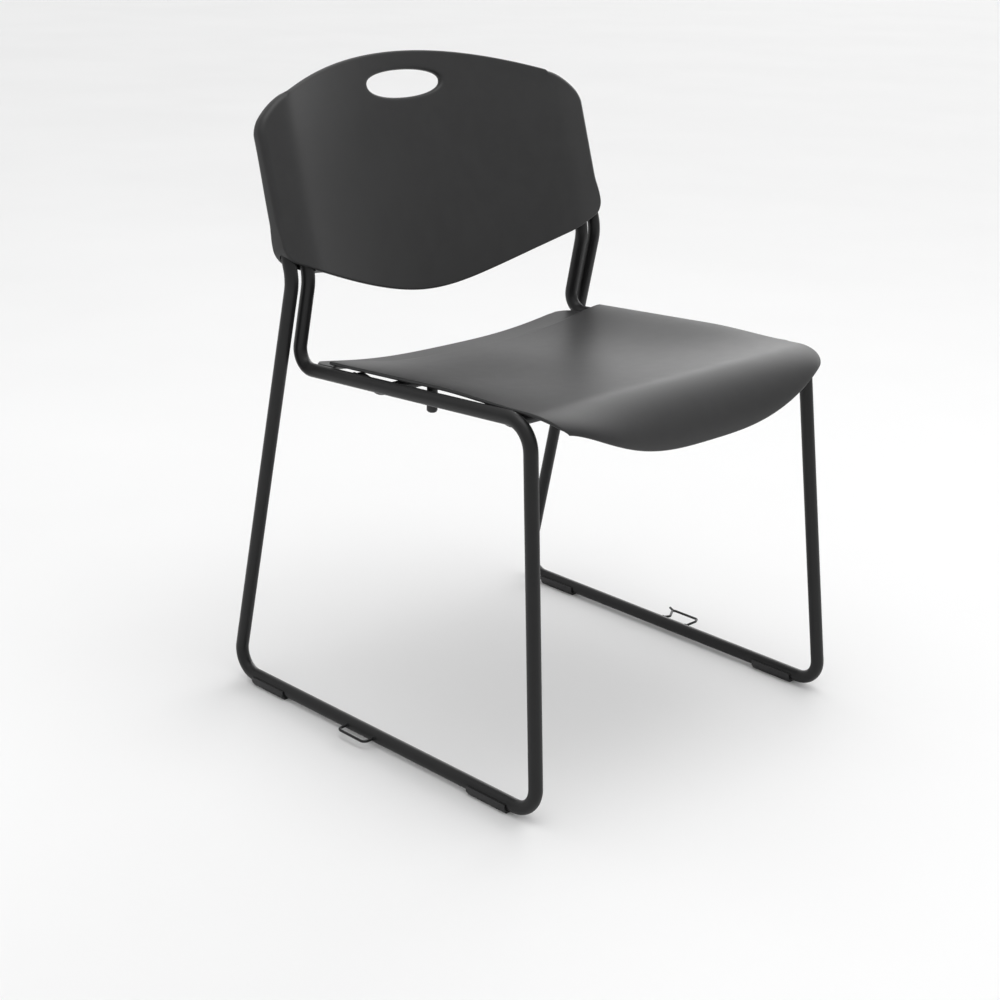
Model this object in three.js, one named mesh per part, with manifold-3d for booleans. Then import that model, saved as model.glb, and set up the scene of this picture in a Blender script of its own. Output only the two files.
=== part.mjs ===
// Stacking chair with a sled base, in millimetres, +Z up, the front towards -Y.
// Two bent steel tubes carry everything. Each one runs from inside the back shell down to the seat
// rail, along the rail, down the front leg, along the floor, and up the rear leg into the back shell.
// The origin is the centre of the chair's bounding box, at floor level.

import * as THREE from 'three';
import { mergeVertices } from 'three/addons/utils/BufferGeometryUtils.js';
import Module from 'manifold-3d';

const wasm = await Module();
wasm.setup();

// ---------- driving dimensions ----------

const GAP = 0.3;                 // air between pieces that touch

// tube frame; y is measured back from the front foot corner and z up from the floor
const TUBE_RADIUS = 7.95;        // 5/8 inch tube
const TUBE_WALL = 1.6;
const TUBE_SIDES = 16;
const SOLE = 2.2;                // plastic of a glide below the tube
const RUNNER_Z = TUBE_RADIUS + SOLE;
const FOOT_FRONT = { x: 251.4, y: 0, z: RUNNER_Z };
const FOOT_REAR = { x: 256, y: 518.3, z: RUNNER_Z };
const RAIL_FRONT = { x: 230.4, y: 46, z: RUNNER_Z + 423.8 };
const RAIL_REAR = { x: 227.3, y: 428.7, z: RUNNER_Z + 402.4 };
const KNEE = { y: 406.7, z: RUNNER_Z + 511 };
const INNER_UPRIGHT_X = 226.1;
const OUTER_UPRIGHT_X = 250;
const RECLINE = Math.atan(0.314);     // lean of the back, from the vertical
const UPRIGHT_LENGTH = 163;           // tube above the knee, inside the back shell
const BEND_FLOOR = 28;
const BEND_RAIL_FRONT = 34;
const BEND_RAIL_REAR = 22;
const BEND_KNEE = 55;
const BEND_STEPS = 28;           // stations in a full turn of bend

// cross rods under the seat, with the tabs that the seat is screwed to
const CROSS_RADIUS = 6.35;
const CROSS_DROP = 20;           // below the rails' centre line
const CROSS_SLOPE = 34;          // width of each sloping end
const CROSS_BEND = 16;
const CROSS_STUB = 6;            // straight end against the rail
const CROSS_STUB_BEND = 4;
const CROSS_SIDES = 10;
const CROSS_STEPS = 36;          // stations in a full turn of bend
const CROSS_FRONT_Y = 115;
const CROSS_REAR_Y = 330;
const TAB = { width: 24, length: 34, thickness: 2.5 };
const TAB_X = 120;
const TAB_SCREW_OFFSET = 17;     // from the cross rod's centre to the screw

// seat shell
const SHELL = 4;                 // plastic wall
const SEAT_HALF_WIDTH = 227;
const BOWL_HALF_WIDTH = 207;     // between the flat rims
const TAIL_HALF_WIDTH = 213;     // between the uprights
const BOWL_POWER = 2.8;          // how late the bowl curves up to its sides
const SEAT_NOTCH = { y: 371, length: 4 };     // where the rims stop and the tail begins
const SEAT_REAR_Y = 426;
const SEAT_REAR_CORNER = 26;
const RIM_ABOVE_RAIL = 14.5;
const TAIL_DROP = 9.5;           // the tail's sides sit lower than the rims
const TAIL_RAMP = 14;            // length over which they come down
const CREST_Y = 52;
const DISH_Y = 235;
const DISH = { crest: 6, middle: 17, rear: 26 };   // middle of the seat below the line of the rims
const LIP = { y: -8, z: RUNNER_Z + 372, endX: 211, endY: 9.2, endZ: RUNNER_Z + 413.8, endPower: 6.5 };
const LIP_SHARE = 0.26;          // part of the seat's length parameter that the front lip takes
const BOSS_RADIUS = 7;
const SCREW_SKIN = 1.8;          // plastic left above the end of a seat screw's hole

// back shell
const BACK_HALF_WIDTH = 260.8;
const SLEEVE_INNER_X = 214;
const SLEEVE_THICKNESS = 22;
const PANEL_OVERLAP = 1.5;       // how far the thin panel runs into each sleeve
const POCKET_CLEARANCE = 1;
const POCKET_BELOW = 60;         // the pocket's cutter runs past the sleeve's lower edge
const BACK_TOP = { z: RUNNER_Z + 742, arch: 31, shoulder: 0.0076, corner: 10 };
const BACK_BOTTOM = { z: RUNNER_Z + 462.5, slope: 0.42, round: 108, corner: 14 };
const RECESS_TOP = 45;           // how far the middle of the back sits behind its sides
const RECESS_BOTTOM = 57;
const HAND_HOLE = { halfWidth: 59, z: RUNNER_Z + 706, rise: 14.5, drop: 19.5, power: 2.35, cut: 160 };
const BACK_SCREW_UP = 85;        // height of the back screws above the knee

// small pieces
const GLIDE = { length: 60, halfWidth: 10.3, wrap: 1.5, wallFoot: -4.5, soleHalfWidth: 6.4 };
const GLIDE_FRONT_Y = 38;
const GLIDE_REAR_Y = 420;
const BUMPER = { x: 212.8, y: 213, radius: 6, bottom: RUNNER_Z + 393.5, stem: 2.4, stemRadius: 2.5 };
const WIRE_RADIUS = 1.6;
const WIRE_SIDES = 8;
const WIRE_STEPS = 20;            // stations in a full turn of bend
const LOOP = { rear: 301, front: 254, reach: 14, bend: 6 };
const HOOK = { rear: 262, front: 223, reach: 26, bend: 3, spur: 8, height: 4 };
const SCREW = { radius: 2.1, head: 4.4, headHeight: 2.6, tipFromAxis: 4 };

// ---------- materials ----------

function material(colour, roughness, metalness) {
  return new THREE.MeshStandardMaterial({ color: colour, roughness, metalness });
}

const blackPowder = material(0x1c1c1d, 0.45, 0.5);
const blackShell = material(0x2b2b2c, 0.55, 0);
const blackNylon = material(0x161617, 0.5, 0);
const blackSteel = material(0x1e1e1f, 0.4, 0.8);

// ---------- helpers ----------

const vec = (x, y, z) => new THREE.Vector3(x, y, z);

function toSolid(geometry) {
  const bare = geometry.clone();
  bare.deleteAttribute('normal');
  bare.deleteAttribute('uv');
  const merged = mergeVertices(bare, 1e-4);
  return new wasm.Manifold(new wasm.Mesh({
    numProp: 3,
    vertProperties: new Float32Array(merged.attributes.position.array),
    triVerts: new Uint32Array(merged.index.array),
  }));
}

function toGeometry(solid) {
  const mesh = solid.getMesh();
  const geometry = new THREE.BufferGeometry();
  geometry.setAttribute('position', new THREE.BufferAttribute(mesh.vertProperties, 3));
  geometry.setIndex(new THREE.BufferAttribute(mesh.triVerts, 1));
  geometry.computeVertexNormals();
  return geometry;
}

// A polygon whose flats touch the circle, so that the true round stays inside it.
function circle(radius, sides) {
  const corner = radius / Math.cos(Math.PI / sides);
  const points = [];
  for (let i = 0; i < sides; i++) {
    const angle = (2 * Math.PI * (i + 0.5)) / sides;
    points.push(new THREE.Vector2(corner * Math.cos(angle), corner * Math.sin(angle)));
  }
  return points;
}

// The centre line of a bent rod: straight runs between corners, each corner an arc of its own radius.
class BentLine extends THREE.Curve {
  constructor(corners, bends, stepsPerTurn) {
    super();
    this.stations = [];
    const last = corners.length - 1;
    this.add(corners[0], corners[1].clone().sub(corners[0]));
    for (let i = 1; i < last; i++) {
      this.addBend(corners[i - 1], corners[i], corners[i + 1], bends[i - 1], stepsPerTurn);
    }
    this.add(corners[last], corners[last].clone().sub(corners[last - 1]));
  }

  add(point, direction) {
    this.stations.push({ point: point.clone(), tangent: direction.clone().normalize() });
  }

  addBend(before, corner, after, radius, stepsPerTurn) {
    const into = corner.clone().sub(before).normalize();
    const out = after.clone().sub(corner).normalize();
    const turn = into.angleTo(out);
    const start = corner.clone().addScaledVector(into, -radius * Math.tan(turn / 2));
    const inward = out.clone().addScaledVector(into, -out.dot(into)).normalize();
    const steps = Math.max(2, Math.round((stepsPerTurn * turn) / (2 * Math.PI)));
    for (let i = 0; i <= steps; i++) {
      const angle = (turn * i) / steps;
      const point = start.clone()
        .addScaledVector(into, radius * Math.sin(angle))
        .addScaledVector(inward, radius * (1 - Math.cos(angle)));
      const tangent = into.clone().multiplyScalar(Math.cos(angle)).addScaledVector(inward, Math.sin(angle));
      this.add(point, tangent);
    }
  }

  get steps() {
    return this.stations.length - 1;
  }

  getPoint(t, target = new THREE.Vector3()) {
    const along = Math.min(Math.max(t, 0), 1) * this.steps;
    const index = Math.min(Math.floor(along), this.steps - 1);
    const [from, to] = [this.stations[index].point, this.stations[index + 1].point];
    return target.copy(from).lerp(to, along - index);
  }

  getTangent(t, target = new THREE.Vector3()) {
    return target.copy(this.stations[Math.round(t * this.steps)].tangent);
  }

  getPointAt(u, target) {
    return this.getPoint(u, target);
  }

  getTangentAt(u, target) {
    return this.getTangent(u, target);
  }
}

function sweep(line, radius, sides, boreRadius = 0) {
  const section = new THREE.Shape(circle(radius, sides));
  if (boreRadius > 0) section.holes.push(new THREE.Path(circle(boreRadius, sides)));
  return new THREE.ExtrudeGeometry(section, { extrudePath: line, steps: line.steps, bevelEnabled: false });
}

// A round bar from one point to another.
function bar(from, to, radius, sides) {
  const direction = to.clone().sub(from);
  const geometry = new THREE.CylinderGeometry(radius, radius, direction.length(), sides);
  geometry.applyQuaternion(new THREE.Quaternion().setFromUnitVectors(vec(0, 1, 0), direction.normalize()));
  geometry.translate(...from.clone().add(to).multiplyScalar(0.5).toArray());
  return geometry;
}

// A sheet of even thickness under a surface given as point(u, v), with u across and v along.
function sheet(point, acrossStops, alongStops, thickness) {
  const step = 1e-3;
  const positions = [];
  const index = [];
  const columns = acrossStops.length;
  const count = columns * alongStops.length;
  const normalAt = (u, v) => {
    const across = point(Math.min(u + step, 1), v).sub(point(Math.max(u - step, -1), v));
    const along = point(u, Math.min(v + step, 1)).sub(point(u, Math.max(v - step, 0)));
    return across.cross(along).normalize();
  };
  for (const depth of [0, thickness]) {
    for (const v of alongStops) {
      for (const u of acrossStops) {
        positions.push(...point(u, v).addScaledVector(normalAt(u, v), -depth).toArray());
      }
    }
  }
  const quad = (a, b, c, d) => index.push(a, b, c, a, c, d);
  for (let j = 0; j < alongStops.length - 1; j++) {
    for (let i = 0; i < columns - 1; i++) {
      const a = j * columns + i;
      quad(a, a + 1, a + columns + 1, a + columns);
      quad(count + a, count + a + columns, count + a + columns + 1, count + a + 1);
    }
  }
  const edge = [];
  for (let i = 0; i < columns - 1; i++) edge.push(i);
  for (let j = 0; j < alongStops.length - 1; j++) edge.push(j * columns + columns - 1);
  for (let i = columns - 1; i > 0; i--) edge.push((alongStops.length - 1) * columns + i);
  for (let j = alongStops.length - 1; j > 0; j--) edge.push(j * columns);
  edge.forEach((a, k) => {
    const b = edge[(k + 1) % edge.length];
    quad(a, count + a, count + b, b);
  });
  const geometry = new THREE.BufferGeometry();
  geometry.setAttribute('position', new THREE.Float32BufferAttribute(positions, 3));
  geometry.setIndex(index);
  geometry.computeVertexNormals();
  return geometry;
}

const chair = new THREE.Group();

function addPiece(name, geometry, look) {
  const mesh = new THREE.Mesh(geometry, look);
  mesh.name = name;
  chair.add(mesh);
  return mesh;
}

const SIDES = [{ name: 'left', sign: -1 }, { name: 'right', sign: 1 }];

// ---------- tube frame ----------

const corner = (sign, place) => vec(sign * place.x, place.y, place.z);

// A place on an upright: x across, distance up from the knee, and depth behind the tube's centre.
function uprightPoint(x, up, behind) {
  const y = KNEE.y + up * Math.sin(RECLINE) + behind * Math.cos(RECLINE);
  const z = KNEE.z + up * Math.cos(RECLINE) - behind * Math.sin(RECLINE);
  return vec(x, y, z);
}

function railZ(y) {
  const share = (y - RAIL_FRONT.y) / (RAIL_REAR.y - RAIL_FRONT.y);
  return THREE.MathUtils.lerp(RAIL_FRONT.z, RAIL_REAR.z, share);
}

function railX(y) {
  const share = (y - RAIL_FRONT.y) / (RAIL_REAR.y - RAIL_FRONT.y);
  return THREE.MathUtils.lerp(RAIL_FRONT.x, RAIL_REAR.x, share);
}

function runnerX(y) {
  return THREE.MathUtils.lerp(FOOT_FRONT.x, FOOT_REAR.x, y / FOOT_REAR.y);
}

function sideFrame(sign) {
  const corners = [
    uprightPoint(sign * INNER_UPRIGHT_X, UPRIGHT_LENGTH, 0),
    uprightPoint(sign * INNER_UPRIGHT_X, 0, 0),
    corner(sign, RAIL_REAR),
    corner(sign, RAIL_FRONT),
    corner(sign, FOOT_FRONT),
    corner(sign, FOOT_REAR),
    uprightPoint(sign * OUTER_UPRIGHT_X, 0, 0),
    uprightPoint(sign * OUTER_UPRIGHT_X, UPRIGHT_LENGTH, 0),
  ];
  const bends = [BEND_KNEE, BEND_RAIL_REAR, BEND_RAIL_FRONT, BEND_FLOOR, BEND_FLOOR, BEND_KNEE];
  const line = new BentLine(corners, bends, BEND_STEPS);
  let tube = toSolid(sweep(line, TUBE_RADIUS, TUBE_SIDES, TUBE_RADIUS - TUBE_WALL));
  for (const x of [INNER_UPRIGHT_X, OUTER_UPRIGHT_X]) {
    tube = tube.subtract(toSolid(backScrewHole(sign * x)));
  }
  return toGeometry(tube);
}

// ---------- cross rods and seat tabs ----------

const crossZ = (y) => railZ(y) - CROSS_DROP;

function crossRod(y) {
  const end = railX(y) - TUBE_RADIUS / Math.cos(Math.PI / TUBE_SIDES) - GAP;
  const flat = end - CROSS_SLOPE;
  const corners = [
    vec(-end, y, railZ(y)),
    vec(-end + CROSS_STUB, y, railZ(y)),
    vec(-flat, y, crossZ(y)),
    vec(flat, y, crossZ(y)),
    vec(end - CROSS_STUB, y, railZ(y)),
    vec(end, y, railZ(y)),
  ];
  const bends = [CROSS_STUB_BEND, CROSS_BEND, CROSS_BEND, CROSS_STUB_BEND];
  return sweep(new BentLine(corners, bends, CROSS_STEPS), CROSS_RADIUS, CROSS_SIDES);
}

const tabBottom = (y) => crossZ(y) + CROSS_RADIUS / Math.cos(Math.PI / CROSS_SIDES) + GAP;
const tabTop = (y) => tabBottom(y) + TAB.thickness;

function seatTab(x, rodY, inward) {
  const width = TAB.width / 2;
  const plan = new THREE.Shape();
  plan.moveTo(-width, -CROSS_RADIUS);
  plan.lineTo(width, -CROSS_RADIUS);
  plan.lineTo(width, TAB.length - CROSS_RADIUS - width);
  plan.absarc(0, TAB.length - CROSS_RADIUS - width, width, 0, Math.PI, false);
  const hole = new THREE.Path();
  hole.absarc(0, TAB_SCREW_OFFSET, SCREW.radius + 0.5, 0, 2 * Math.PI, true);
  plan.holes.push(hole);
  const geometry = new THREE.ExtrudeGeometry(plan, {
    depth: TAB.thickness, bevelEnabled: false, curveSegments: 6,
  });
  if (inward < 0) geometry.rotateZ(Math.PI);
  geometry.translate(x, rodY, tabBottom(rodY));
  return geometry;
}

const SEAT_FIXINGS = [
  { name: 'front', rodY: CROSS_FRONT_Y, inward: 1 },
  { name: 'rear', rodY: CROSS_REAR_Y, inward: -1 },
].flatMap((row) => SIDES.map((side) => ({
  name: `${row.name}_${side.name}`,
  x: side.sign * TAB_X,
  rodY: row.rodY,
  screwY: row.rodY + row.inward * TAB_SCREW_OFFSET,
  inward: row.inward,
})));

// ---------- seat shell ----------

const rimZ = (y) => railZ(y) + RIM_ABOVE_RAIL;

// Depth of the seat's middle below its rim.
function dish(y) {
  const [endY, end] = y < DISH_Y ? [CREST_Y, DISH.crest] : [SEAT_REAR_Y, DISH.rear];
  const away = (y - DISH_Y) / (endY - DISH_Y);
  return THREE.MathUtils.lerp(DISH.middle, end, away * away);
}

function seatHalfWidth(y) {
  const narrow = THREE.MathUtils.smoothstep(y, SEAT_NOTCH.y, SEAT_NOTCH.y + SEAT_NOTCH.length);
  const width = THREE.MathUtils.lerp(SEAT_HALF_WIDTH, TAIL_HALF_WIDTH, narrow);
  const intoCorner = Math.max(0, y - (SEAT_REAR_Y - SEAT_REAR_CORNER));
  return width - SEAT_REAR_CORNER + Math.sqrt(SEAT_REAR_CORNER ** 2 - intoCorner ** 2);
}

// Share of the way up from the seat's middle to its rim.
const bowl = (x, halfWidth) => Math.min(1, Math.abs(x) / halfWidth) ** BOWL_POWER;

// The rolled front of the seat: turn runs from 0 at the lower edge to a quarter turn at the crest.
function lipPoint(u, turn) {
  const [rise, back] = [Math.sin(turn), 1 - Math.cos(turn)];
  const midY = LIP.y + (CREST_Y - LIP.y) * back;
  const midZ = LIP.z + (rimZ(CREST_Y) - DISH.crest - LIP.z) * rise;
  const endY = LIP.endY + (CREST_Y - LIP.endY) * back;
  const endZ = LIP.endZ + (rimZ(CREST_Y) - LIP.endZ) * rise;
  const x = u * (LIP.endX + (SEAT_HALF_WIDTH - LIP.endX) * rise);
  const bowlEnd = THREE.MathUtils.lerp(LIP.endX, BOWL_HALF_WIDTH, rise);
  const y = THREE.MathUtils.lerp(midY, endY, Math.abs(u) ** LIP.endPower);
  return vec(x, y, THREE.MathUtils.lerp(midZ, endZ, bowl(x, bowlEnd)));
}

// Upper face of the seat: u from -1 to 1 across, v from 0 at the lip's lower edge to 1 at the rear.
function seatPoint(u, v) {
  if (v < LIP_SHARE) return lipPoint(u, (v / LIP_SHARE) * (Math.PI / 2));
  const y = THREE.MathUtils.lerp(CREST_Y, SEAT_REAR_Y, (v - LIP_SHARE) / (1 - LIP_SHARE));
  const x = u * seatHalfWidth(y);
  const edgeZ = rimZ(y) - TAIL_DROP * THREE.MathUtils.smoothstep(y, SEAT_NOTCH.y, SEAT_NOTCH.y + TAIL_RAMP);
  return vec(x, y, THREE.MathUtils.lerp(rimZ(y) - dish(y), edgeZ, bowl(x, BOWL_HALF_WIDTH)));
}

const seatShare = (y) => LIP_SHARE + ((1 - LIP_SHARE) * (y - CREST_Y)) / (SEAT_REAR_Y - CREST_Y);

function seatStops() {
  const inner = BOWL_HALF_WIDTH / SEAT_HALF_WIDTH;
  const half = [...Array(10).keys()].map((i) => inner * (1 - (1 - (i + 1) / 10) ** 1.3));
  half.push((inner + 1) / 2, 1);
  const across = [...half.map((u) => -u).reverse(), 0, ...half];
  const along = [];
  for (let i = 0; i < 8; i++) along.push((LIP_SHARE * i) / 8);
  for (const y of [CREST_Y, 80, 115, 150, 190, DISH_Y, 280, 320, 350]) along.push(seatShare(y));
  for (const into of [0, SEAT_NOTCH.length, TAIL_RAMP * 0.6, TAIL_RAMP]) {
    along.push(seatShare(SEAT_NOTCH.y + into));
  }
  for (const left of [1, 0.5, 0.2, 0.05]) along.push(seatShare(SEAT_REAR_Y - SEAT_REAR_CORNER * left));
  along.push(1);
  return { across, along };
}

// Height of the seat's upper face at a place on it.
function seatTopZ(x, y) {
  return seatPoint(x / seatHalfWidth(y), seatShare(y)).z;
}

function seatShell() {
  const stops = seatStops();
  let shell = toSolid(sheet(seatPoint, stops.across, stops.along, SHELL));
  for (const fixing of SEAT_FIXINGS) {
    const bottom = tabTop(fixing.rodY) + GAP;
    const top = seatTopZ(fixing.x, fixing.screwY);
    const at = (z) => vec(fixing.x, fixing.screwY, z);
    shell = shell.add(toSolid(bar(at(bottom), at(top - SHELL / 2), BOSS_RADIUS, 12)));
    shell = shell.subtract(toSolid(bar(at(bottom - 1), at(top - SCREW_SKIN), SCREW.radius + GAP, 10)));
  }
  for (const side of SIDES) {
    const socketTop = seatTopZ(side.sign * BUMPER.x, BUMPER.y) - SHELL + BUMPER.stem;
    const at = (z) => vec(side.sign * BUMPER.x, BUMPER.y, z);
    const socket = bar(at(socketTop - 3 * SHELL), at(socketTop), BUMPER.stemRadius + GAP, 10);
    shell = shell.subtract(toSolid(socket));
  }
  return toGeometry(shell);
}

function seatScrew(fixing) {
  const headTop = tabBottom(fixing.rodY) - GAP;
  const tip = seatTopZ(fixing.x, fixing.screwY) - SCREW_SKIN - 2 * GAP;
  const profile = [
    new THREE.Vector2(0, headTop - SCREW.headHeight),
    new THREE.Vector2(SCREW.head * 0.8, headTop - SCREW.headHeight),
    new THREE.Vector2(SCREW.head, headTop - SCREW.headHeight * 0.6),
    new THREE.Vector2(SCREW.head, headTop),
    new THREE.Vector2(SCREW.radius, headTop),
    new THREE.Vector2(SCREW.radius, tip - 2),
    new THREE.Vector2(0, tip),
  ];
  const geometry = new THREE.LatheGeometry(profile, 10);
  geometry.rotateX(Math.PI / 2);
  geometry.translate(fixing.x, fixing.screwY, 0);
  return geometry;
}

// ---------- stacking bumpers ----------

function bumper(sign) {
  const top = seatTopZ(BUMPER.x - BUMPER.radius, BUMPER.y) - SHELL - 3 * GAP;
  const stemTop = seatTopZ(BUMPER.x, BUMPER.y) - SHELL + BUMPER.stem - GAP;
  const [r, b] = [BUMPER.radius, BUMPER.bottom];
  const profile = [
    new THREE.Vector2(0, b),
    new THREE.Vector2(r * 0.55, b),
    new THREE.Vector2(r * 0.85, b + 1.2),
    new THREE.Vector2(r, b + 3.5),
    new THREE.Vector2(r, top),
    new THREE.Vector2(BUMPER.stemRadius, top),
    new THREE.Vector2(BUMPER.stemRadius, stemTop),
    new THREE.Vector2(0, stemTop),
  ];
  const geometry = new THREE.LatheGeometry(profile, 14);
  geometry.rotateX(Math.PI / 2);
  geometry.translate(sign * BUMPER.x, BUMPER.y, 0);
  return geometry;
}

// ---------- back shell ----------

// How far a rounded corner at the end of an outline has turned at a distance across.
function cornerDepth(side, radius) {
  const into = Math.max(0, side - (BACK_HALF_WIDTH - radius));
  return radius - Math.sqrt(Math.max(0, radius ** 2 - into ** 2));
}

// Upper outline of the back: a low arch that falls faster past the sleeves' inner edges.
function backTopZ(x) {
  const side = Math.abs(x);
  const arch = BACK_TOP.z - BACK_TOP.arch * (side / SLEEVE_INNER_X) ** 2;
  const beyond = Math.max(0, side - SLEEVE_INNER_X);
  return arch - BACK_TOP.shoulder * beyond ** 2 - cornerDepth(side, BACK_TOP.corner);
}

// Lower outline: the middle hangs lower than the sleeves.
function backBottomZ(x) {
  const rise = BACK_BOTTOM.slope * (Math.hypot(x, BACK_BOTTOM.round) - BACK_BOTTOM.round);
  return BACK_BOTTOM.z + rise + cornerDepth(Math.abs(x), BACK_BOTTOM.corner);
}

// Front face of the back. The sleeves are flat and the panel between them is an arc.
function backFrontY(x, z) {
  const height = (z - KNEE.z) / Math.cos(RECLINE);
  const flat = KNEE.y + height * Math.sin(RECLINE) - SLEEVE_THICKNESS / 2 / Math.cos(RECLINE);
  const share = (z - BACK_BOTTOM.z) / (BACK_TOP.z - BACK_BOTTOM.z);
  const recess = THREE.MathUtils.lerp(RECESS_BOTTOM, RECESS_TOP, share);
  const arc = recess * (1 - (Math.min(Math.abs(x), SLEEVE_INNER_X) / SLEEVE_INNER_X) ** 2);
  return flat + arc;
}

function backPoint(u, v) {
  const x = u * BACK_HALF_WIDTH;
  const z = THREE.MathUtils.lerp(backBottomZ(x), backTopZ(x), v);
  return vec(x, backFrontY(x, z), z);
}

// The thin panel between the sleeves; it runs a little way into each of them.
function backPanel() {
  const reach = (SLEEVE_INNER_X + PANEL_OVERLAP) / BACK_HALF_WIDTH;
  const inner = SLEEVE_INNER_X / BACK_HALF_WIDTH;
  const half = [...Array(9).keys()].map((i) => (inner * i) / 8);
  const side = [...half.slice(1), reach];
  const acrossStops = [...side.map((u) => -u).reverse(), 0, ...side];
  const alongStops = [0, 0.15, 0.3, 0.45, 0.6, 0.75, 0.88, 1];
  return sheet(backPoint, acrossStops, alongStops, SHELL);
}

// One solid sleeve: an outline in the plane of the tubes, made as thick as the sleeve.
function sleeveBlock(sign) {
  const lean = (SLEEVE_THICKNESS / 2) * Math.sin(RECLINE);
  const rise = (z) => (z - KNEE.z - lean) / Math.cos(RECLINE);
  const inward = [1, 0.6, 0.3, 0.1, 0].map((share) => BACK_HALF_WIDTH - BACK_BOTTOM.corner * share);
  const stops = [SLEEVE_INNER_X, 225, 236, ...inward];
  const lower = stops.map((x) => new THREE.Vector2(sign * x, rise(backBottomZ(x))));
  const upper = stops.map((x) => new THREE.Vector2(sign * x, rise(backTopZ(x)))).reverse();
  const outline = new THREE.Shape([...lower, ...upper]);
  const block = new THREE.ExtrudeGeometry(outline, { depth: SLEEVE_THICKNESS, bevelEnabled: false });
  block.translate(0, 0, -SLEEVE_THICKNESS / 2);
  return placeOnUprights(block);
}

// The room for both tubes of one side, open at the bottom.
function pocket(sign) {
  const radius = TUBE_RADIUS / Math.cos(Math.PI / TUBE_SIDES) + POCKET_CLEARANCE;
  const [low, high] = [sign * INNER_UPRIGHT_X, sign * OUTER_UPRIGHT_X].sort((a, b) => a - b);
  const outline = new THREE.Shape();
  outline.absarc(high, 0, radius, -Math.PI / 2, Math.PI / 2, false);
  outline.absarc(low, 0, radius, Math.PI / 2, (3 * Math.PI) / 2, false);
  const room = new THREE.ExtrudeGeometry(outline, {
    depth: UPRIGHT_LENGTH + GAP + POCKET_BELOW, bevelEnabled: false, curveSegments: 6,
  });
  room.rotateX(-Math.PI / 2);
  room.translate(0, -POCKET_BELOW, 0);
  return placeOnUprights(room);
}

// Turns a shape drawn as x across, y up the recline and z forward into its place on the tubes.
function placeOnUprights(geometry) {
  geometry.rotateX(Math.PI / 2 - RECLINE);
  geometry.translate(0, KNEE.y, KNEE.z);
  return geometry;
}

// A lens with full, rounded ends, cut straight through from front to back.
function handHole() {
  const { halfWidth, z, rise, drop, power } = HAND_HOLE;
  const outline = [...Array(40).keys()].map((i) => {
    const angle = (2 * Math.PI * i) / 40;
    const [cos, sin] = [Math.cos(angle), Math.sin(angle)];
    const across = Math.sign(cos) * Math.abs(cos) ** (2 / power);
    const up = Math.sign(sin) * Math.abs(sin) ** (2 / power);
    return new THREE.Vector2(halfWidth * across, z + (up > 0 ? rise : drop) * up);
  });
  const cutter = new THREE.ExtrudeGeometry(new THREE.Shape(outline), {
    depth: HAND_HOLE.cut, bevelEnabled: false,
  });
  cutter.rotateX(Math.PI / 2);
  cutter.translate(0, FOOT_REAR.y + HAND_HOLE.cut / 4, 0);
  return cutter;
}

function backScrewHole(x) {
  const start = uprightPoint(x, BACK_SCREW_UP, SCREW.tipFromAxis - 1);
  return bar(start, uprightPoint(x, BACK_SCREW_UP, SLEEVE_THICKNESS), SCREW.radius + GAP, 8);
}

function backScrew(x) {
  const seatDepth = SLEEVE_THICKNESS / 2;
  const profile = [
    new THREE.Vector2(0, SCREW.tipFromAxis),
    new THREE.Vector2(SCREW.radius, SCREW.tipFromAxis + 1),
    new THREE.Vector2(SCREW.radius, seatDepth + GAP),
    new THREE.Vector2(SCREW.head, seatDepth + GAP),
    new THREE.Vector2(SCREW.head * 0.8, seatDepth + SCREW.headHeight),
    new THREE.Vector2(0, seatDepth + SCREW.headHeight),
  ];
  const geometry = new THREE.LatheGeometry(profile, 10);
  geometry.rotateX(-RECLINE);
  geometry.translate(...uprightPoint(x, BACK_SCREW_UP, 0).toArray());
  return geometry;
}

function backShell() {
  let shell = toSolid(backPanel());
  for (const { sign } of SIDES) {
    shell = shell.add(toSolid(sleeveBlock(sign)));
    shell = shell.subtract(toSolid(pocket(sign)));
    for (const x of [INNER_UPRIGHT_X, OUTER_UPRIGHT_X]) {
      shell = shell.subtract(toSolid(backScrewHole(sign * x)));
    }
  }
  return toGeometry(shell.subtract(toSolid(handHole())));
}

// ---------- glides ----------

// A clip around the lower half of the runner with a flat sole.
function glide(sign, frontY) {
  const inner = TUBE_RADIUS / Math.cos(Math.PI / TUBE_SIDES) + GAP;
  const { length, halfWidth, wrap, wallFoot, soleHalfWidth } = GLIDE;
  const section = new THREE.Shape();
  section.moveTo(halfWidth, wrap);
  section.lineTo(inner * Math.cos(Math.asin(wrap / inner)), wrap);
  section.absarc(0, 0, inner, Math.asin(wrap / inner), Math.PI - Math.asin(wrap / inner), true);
  section.lineTo(-halfWidth, wrap);
  section.lineTo(-halfWidth, wallFoot);
  section.lineTo(-soleHalfWidth, -RUNNER_Z);
  section.lineTo(soleHalfWidth, -RUNNER_Z);
  section.lineTo(halfWidth, wallFoot);
  const geometry = new THREE.ExtrudeGeometry(section, {
    depth: length, bevelEnabled: false, curveSegments: 5,
  });
  const skew = Math.atan2(FOOT_REAR.x - FOOT_FRONT.x, FOOT_REAR.y);
  geometry.rotateX(Math.PI / 2);
  geometry.translate(0, length / 2, 0);
  geometry.rotateZ(-sign * skew);
  const y = frontY + length / 2;
  geometry.translate(sign * runnerX(y), y, RUNNER_Z);
  return geometry;
}

// ---------- ganging wires ----------

const tubeFace = (y, height) => {
  const radius = TUBE_RADIUS / Math.cos(Math.PI / TUBE_SIDES);
  return runnerX(y) + Math.sqrt(radius ** 2 - height ** 2) + GAP;
};

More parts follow.
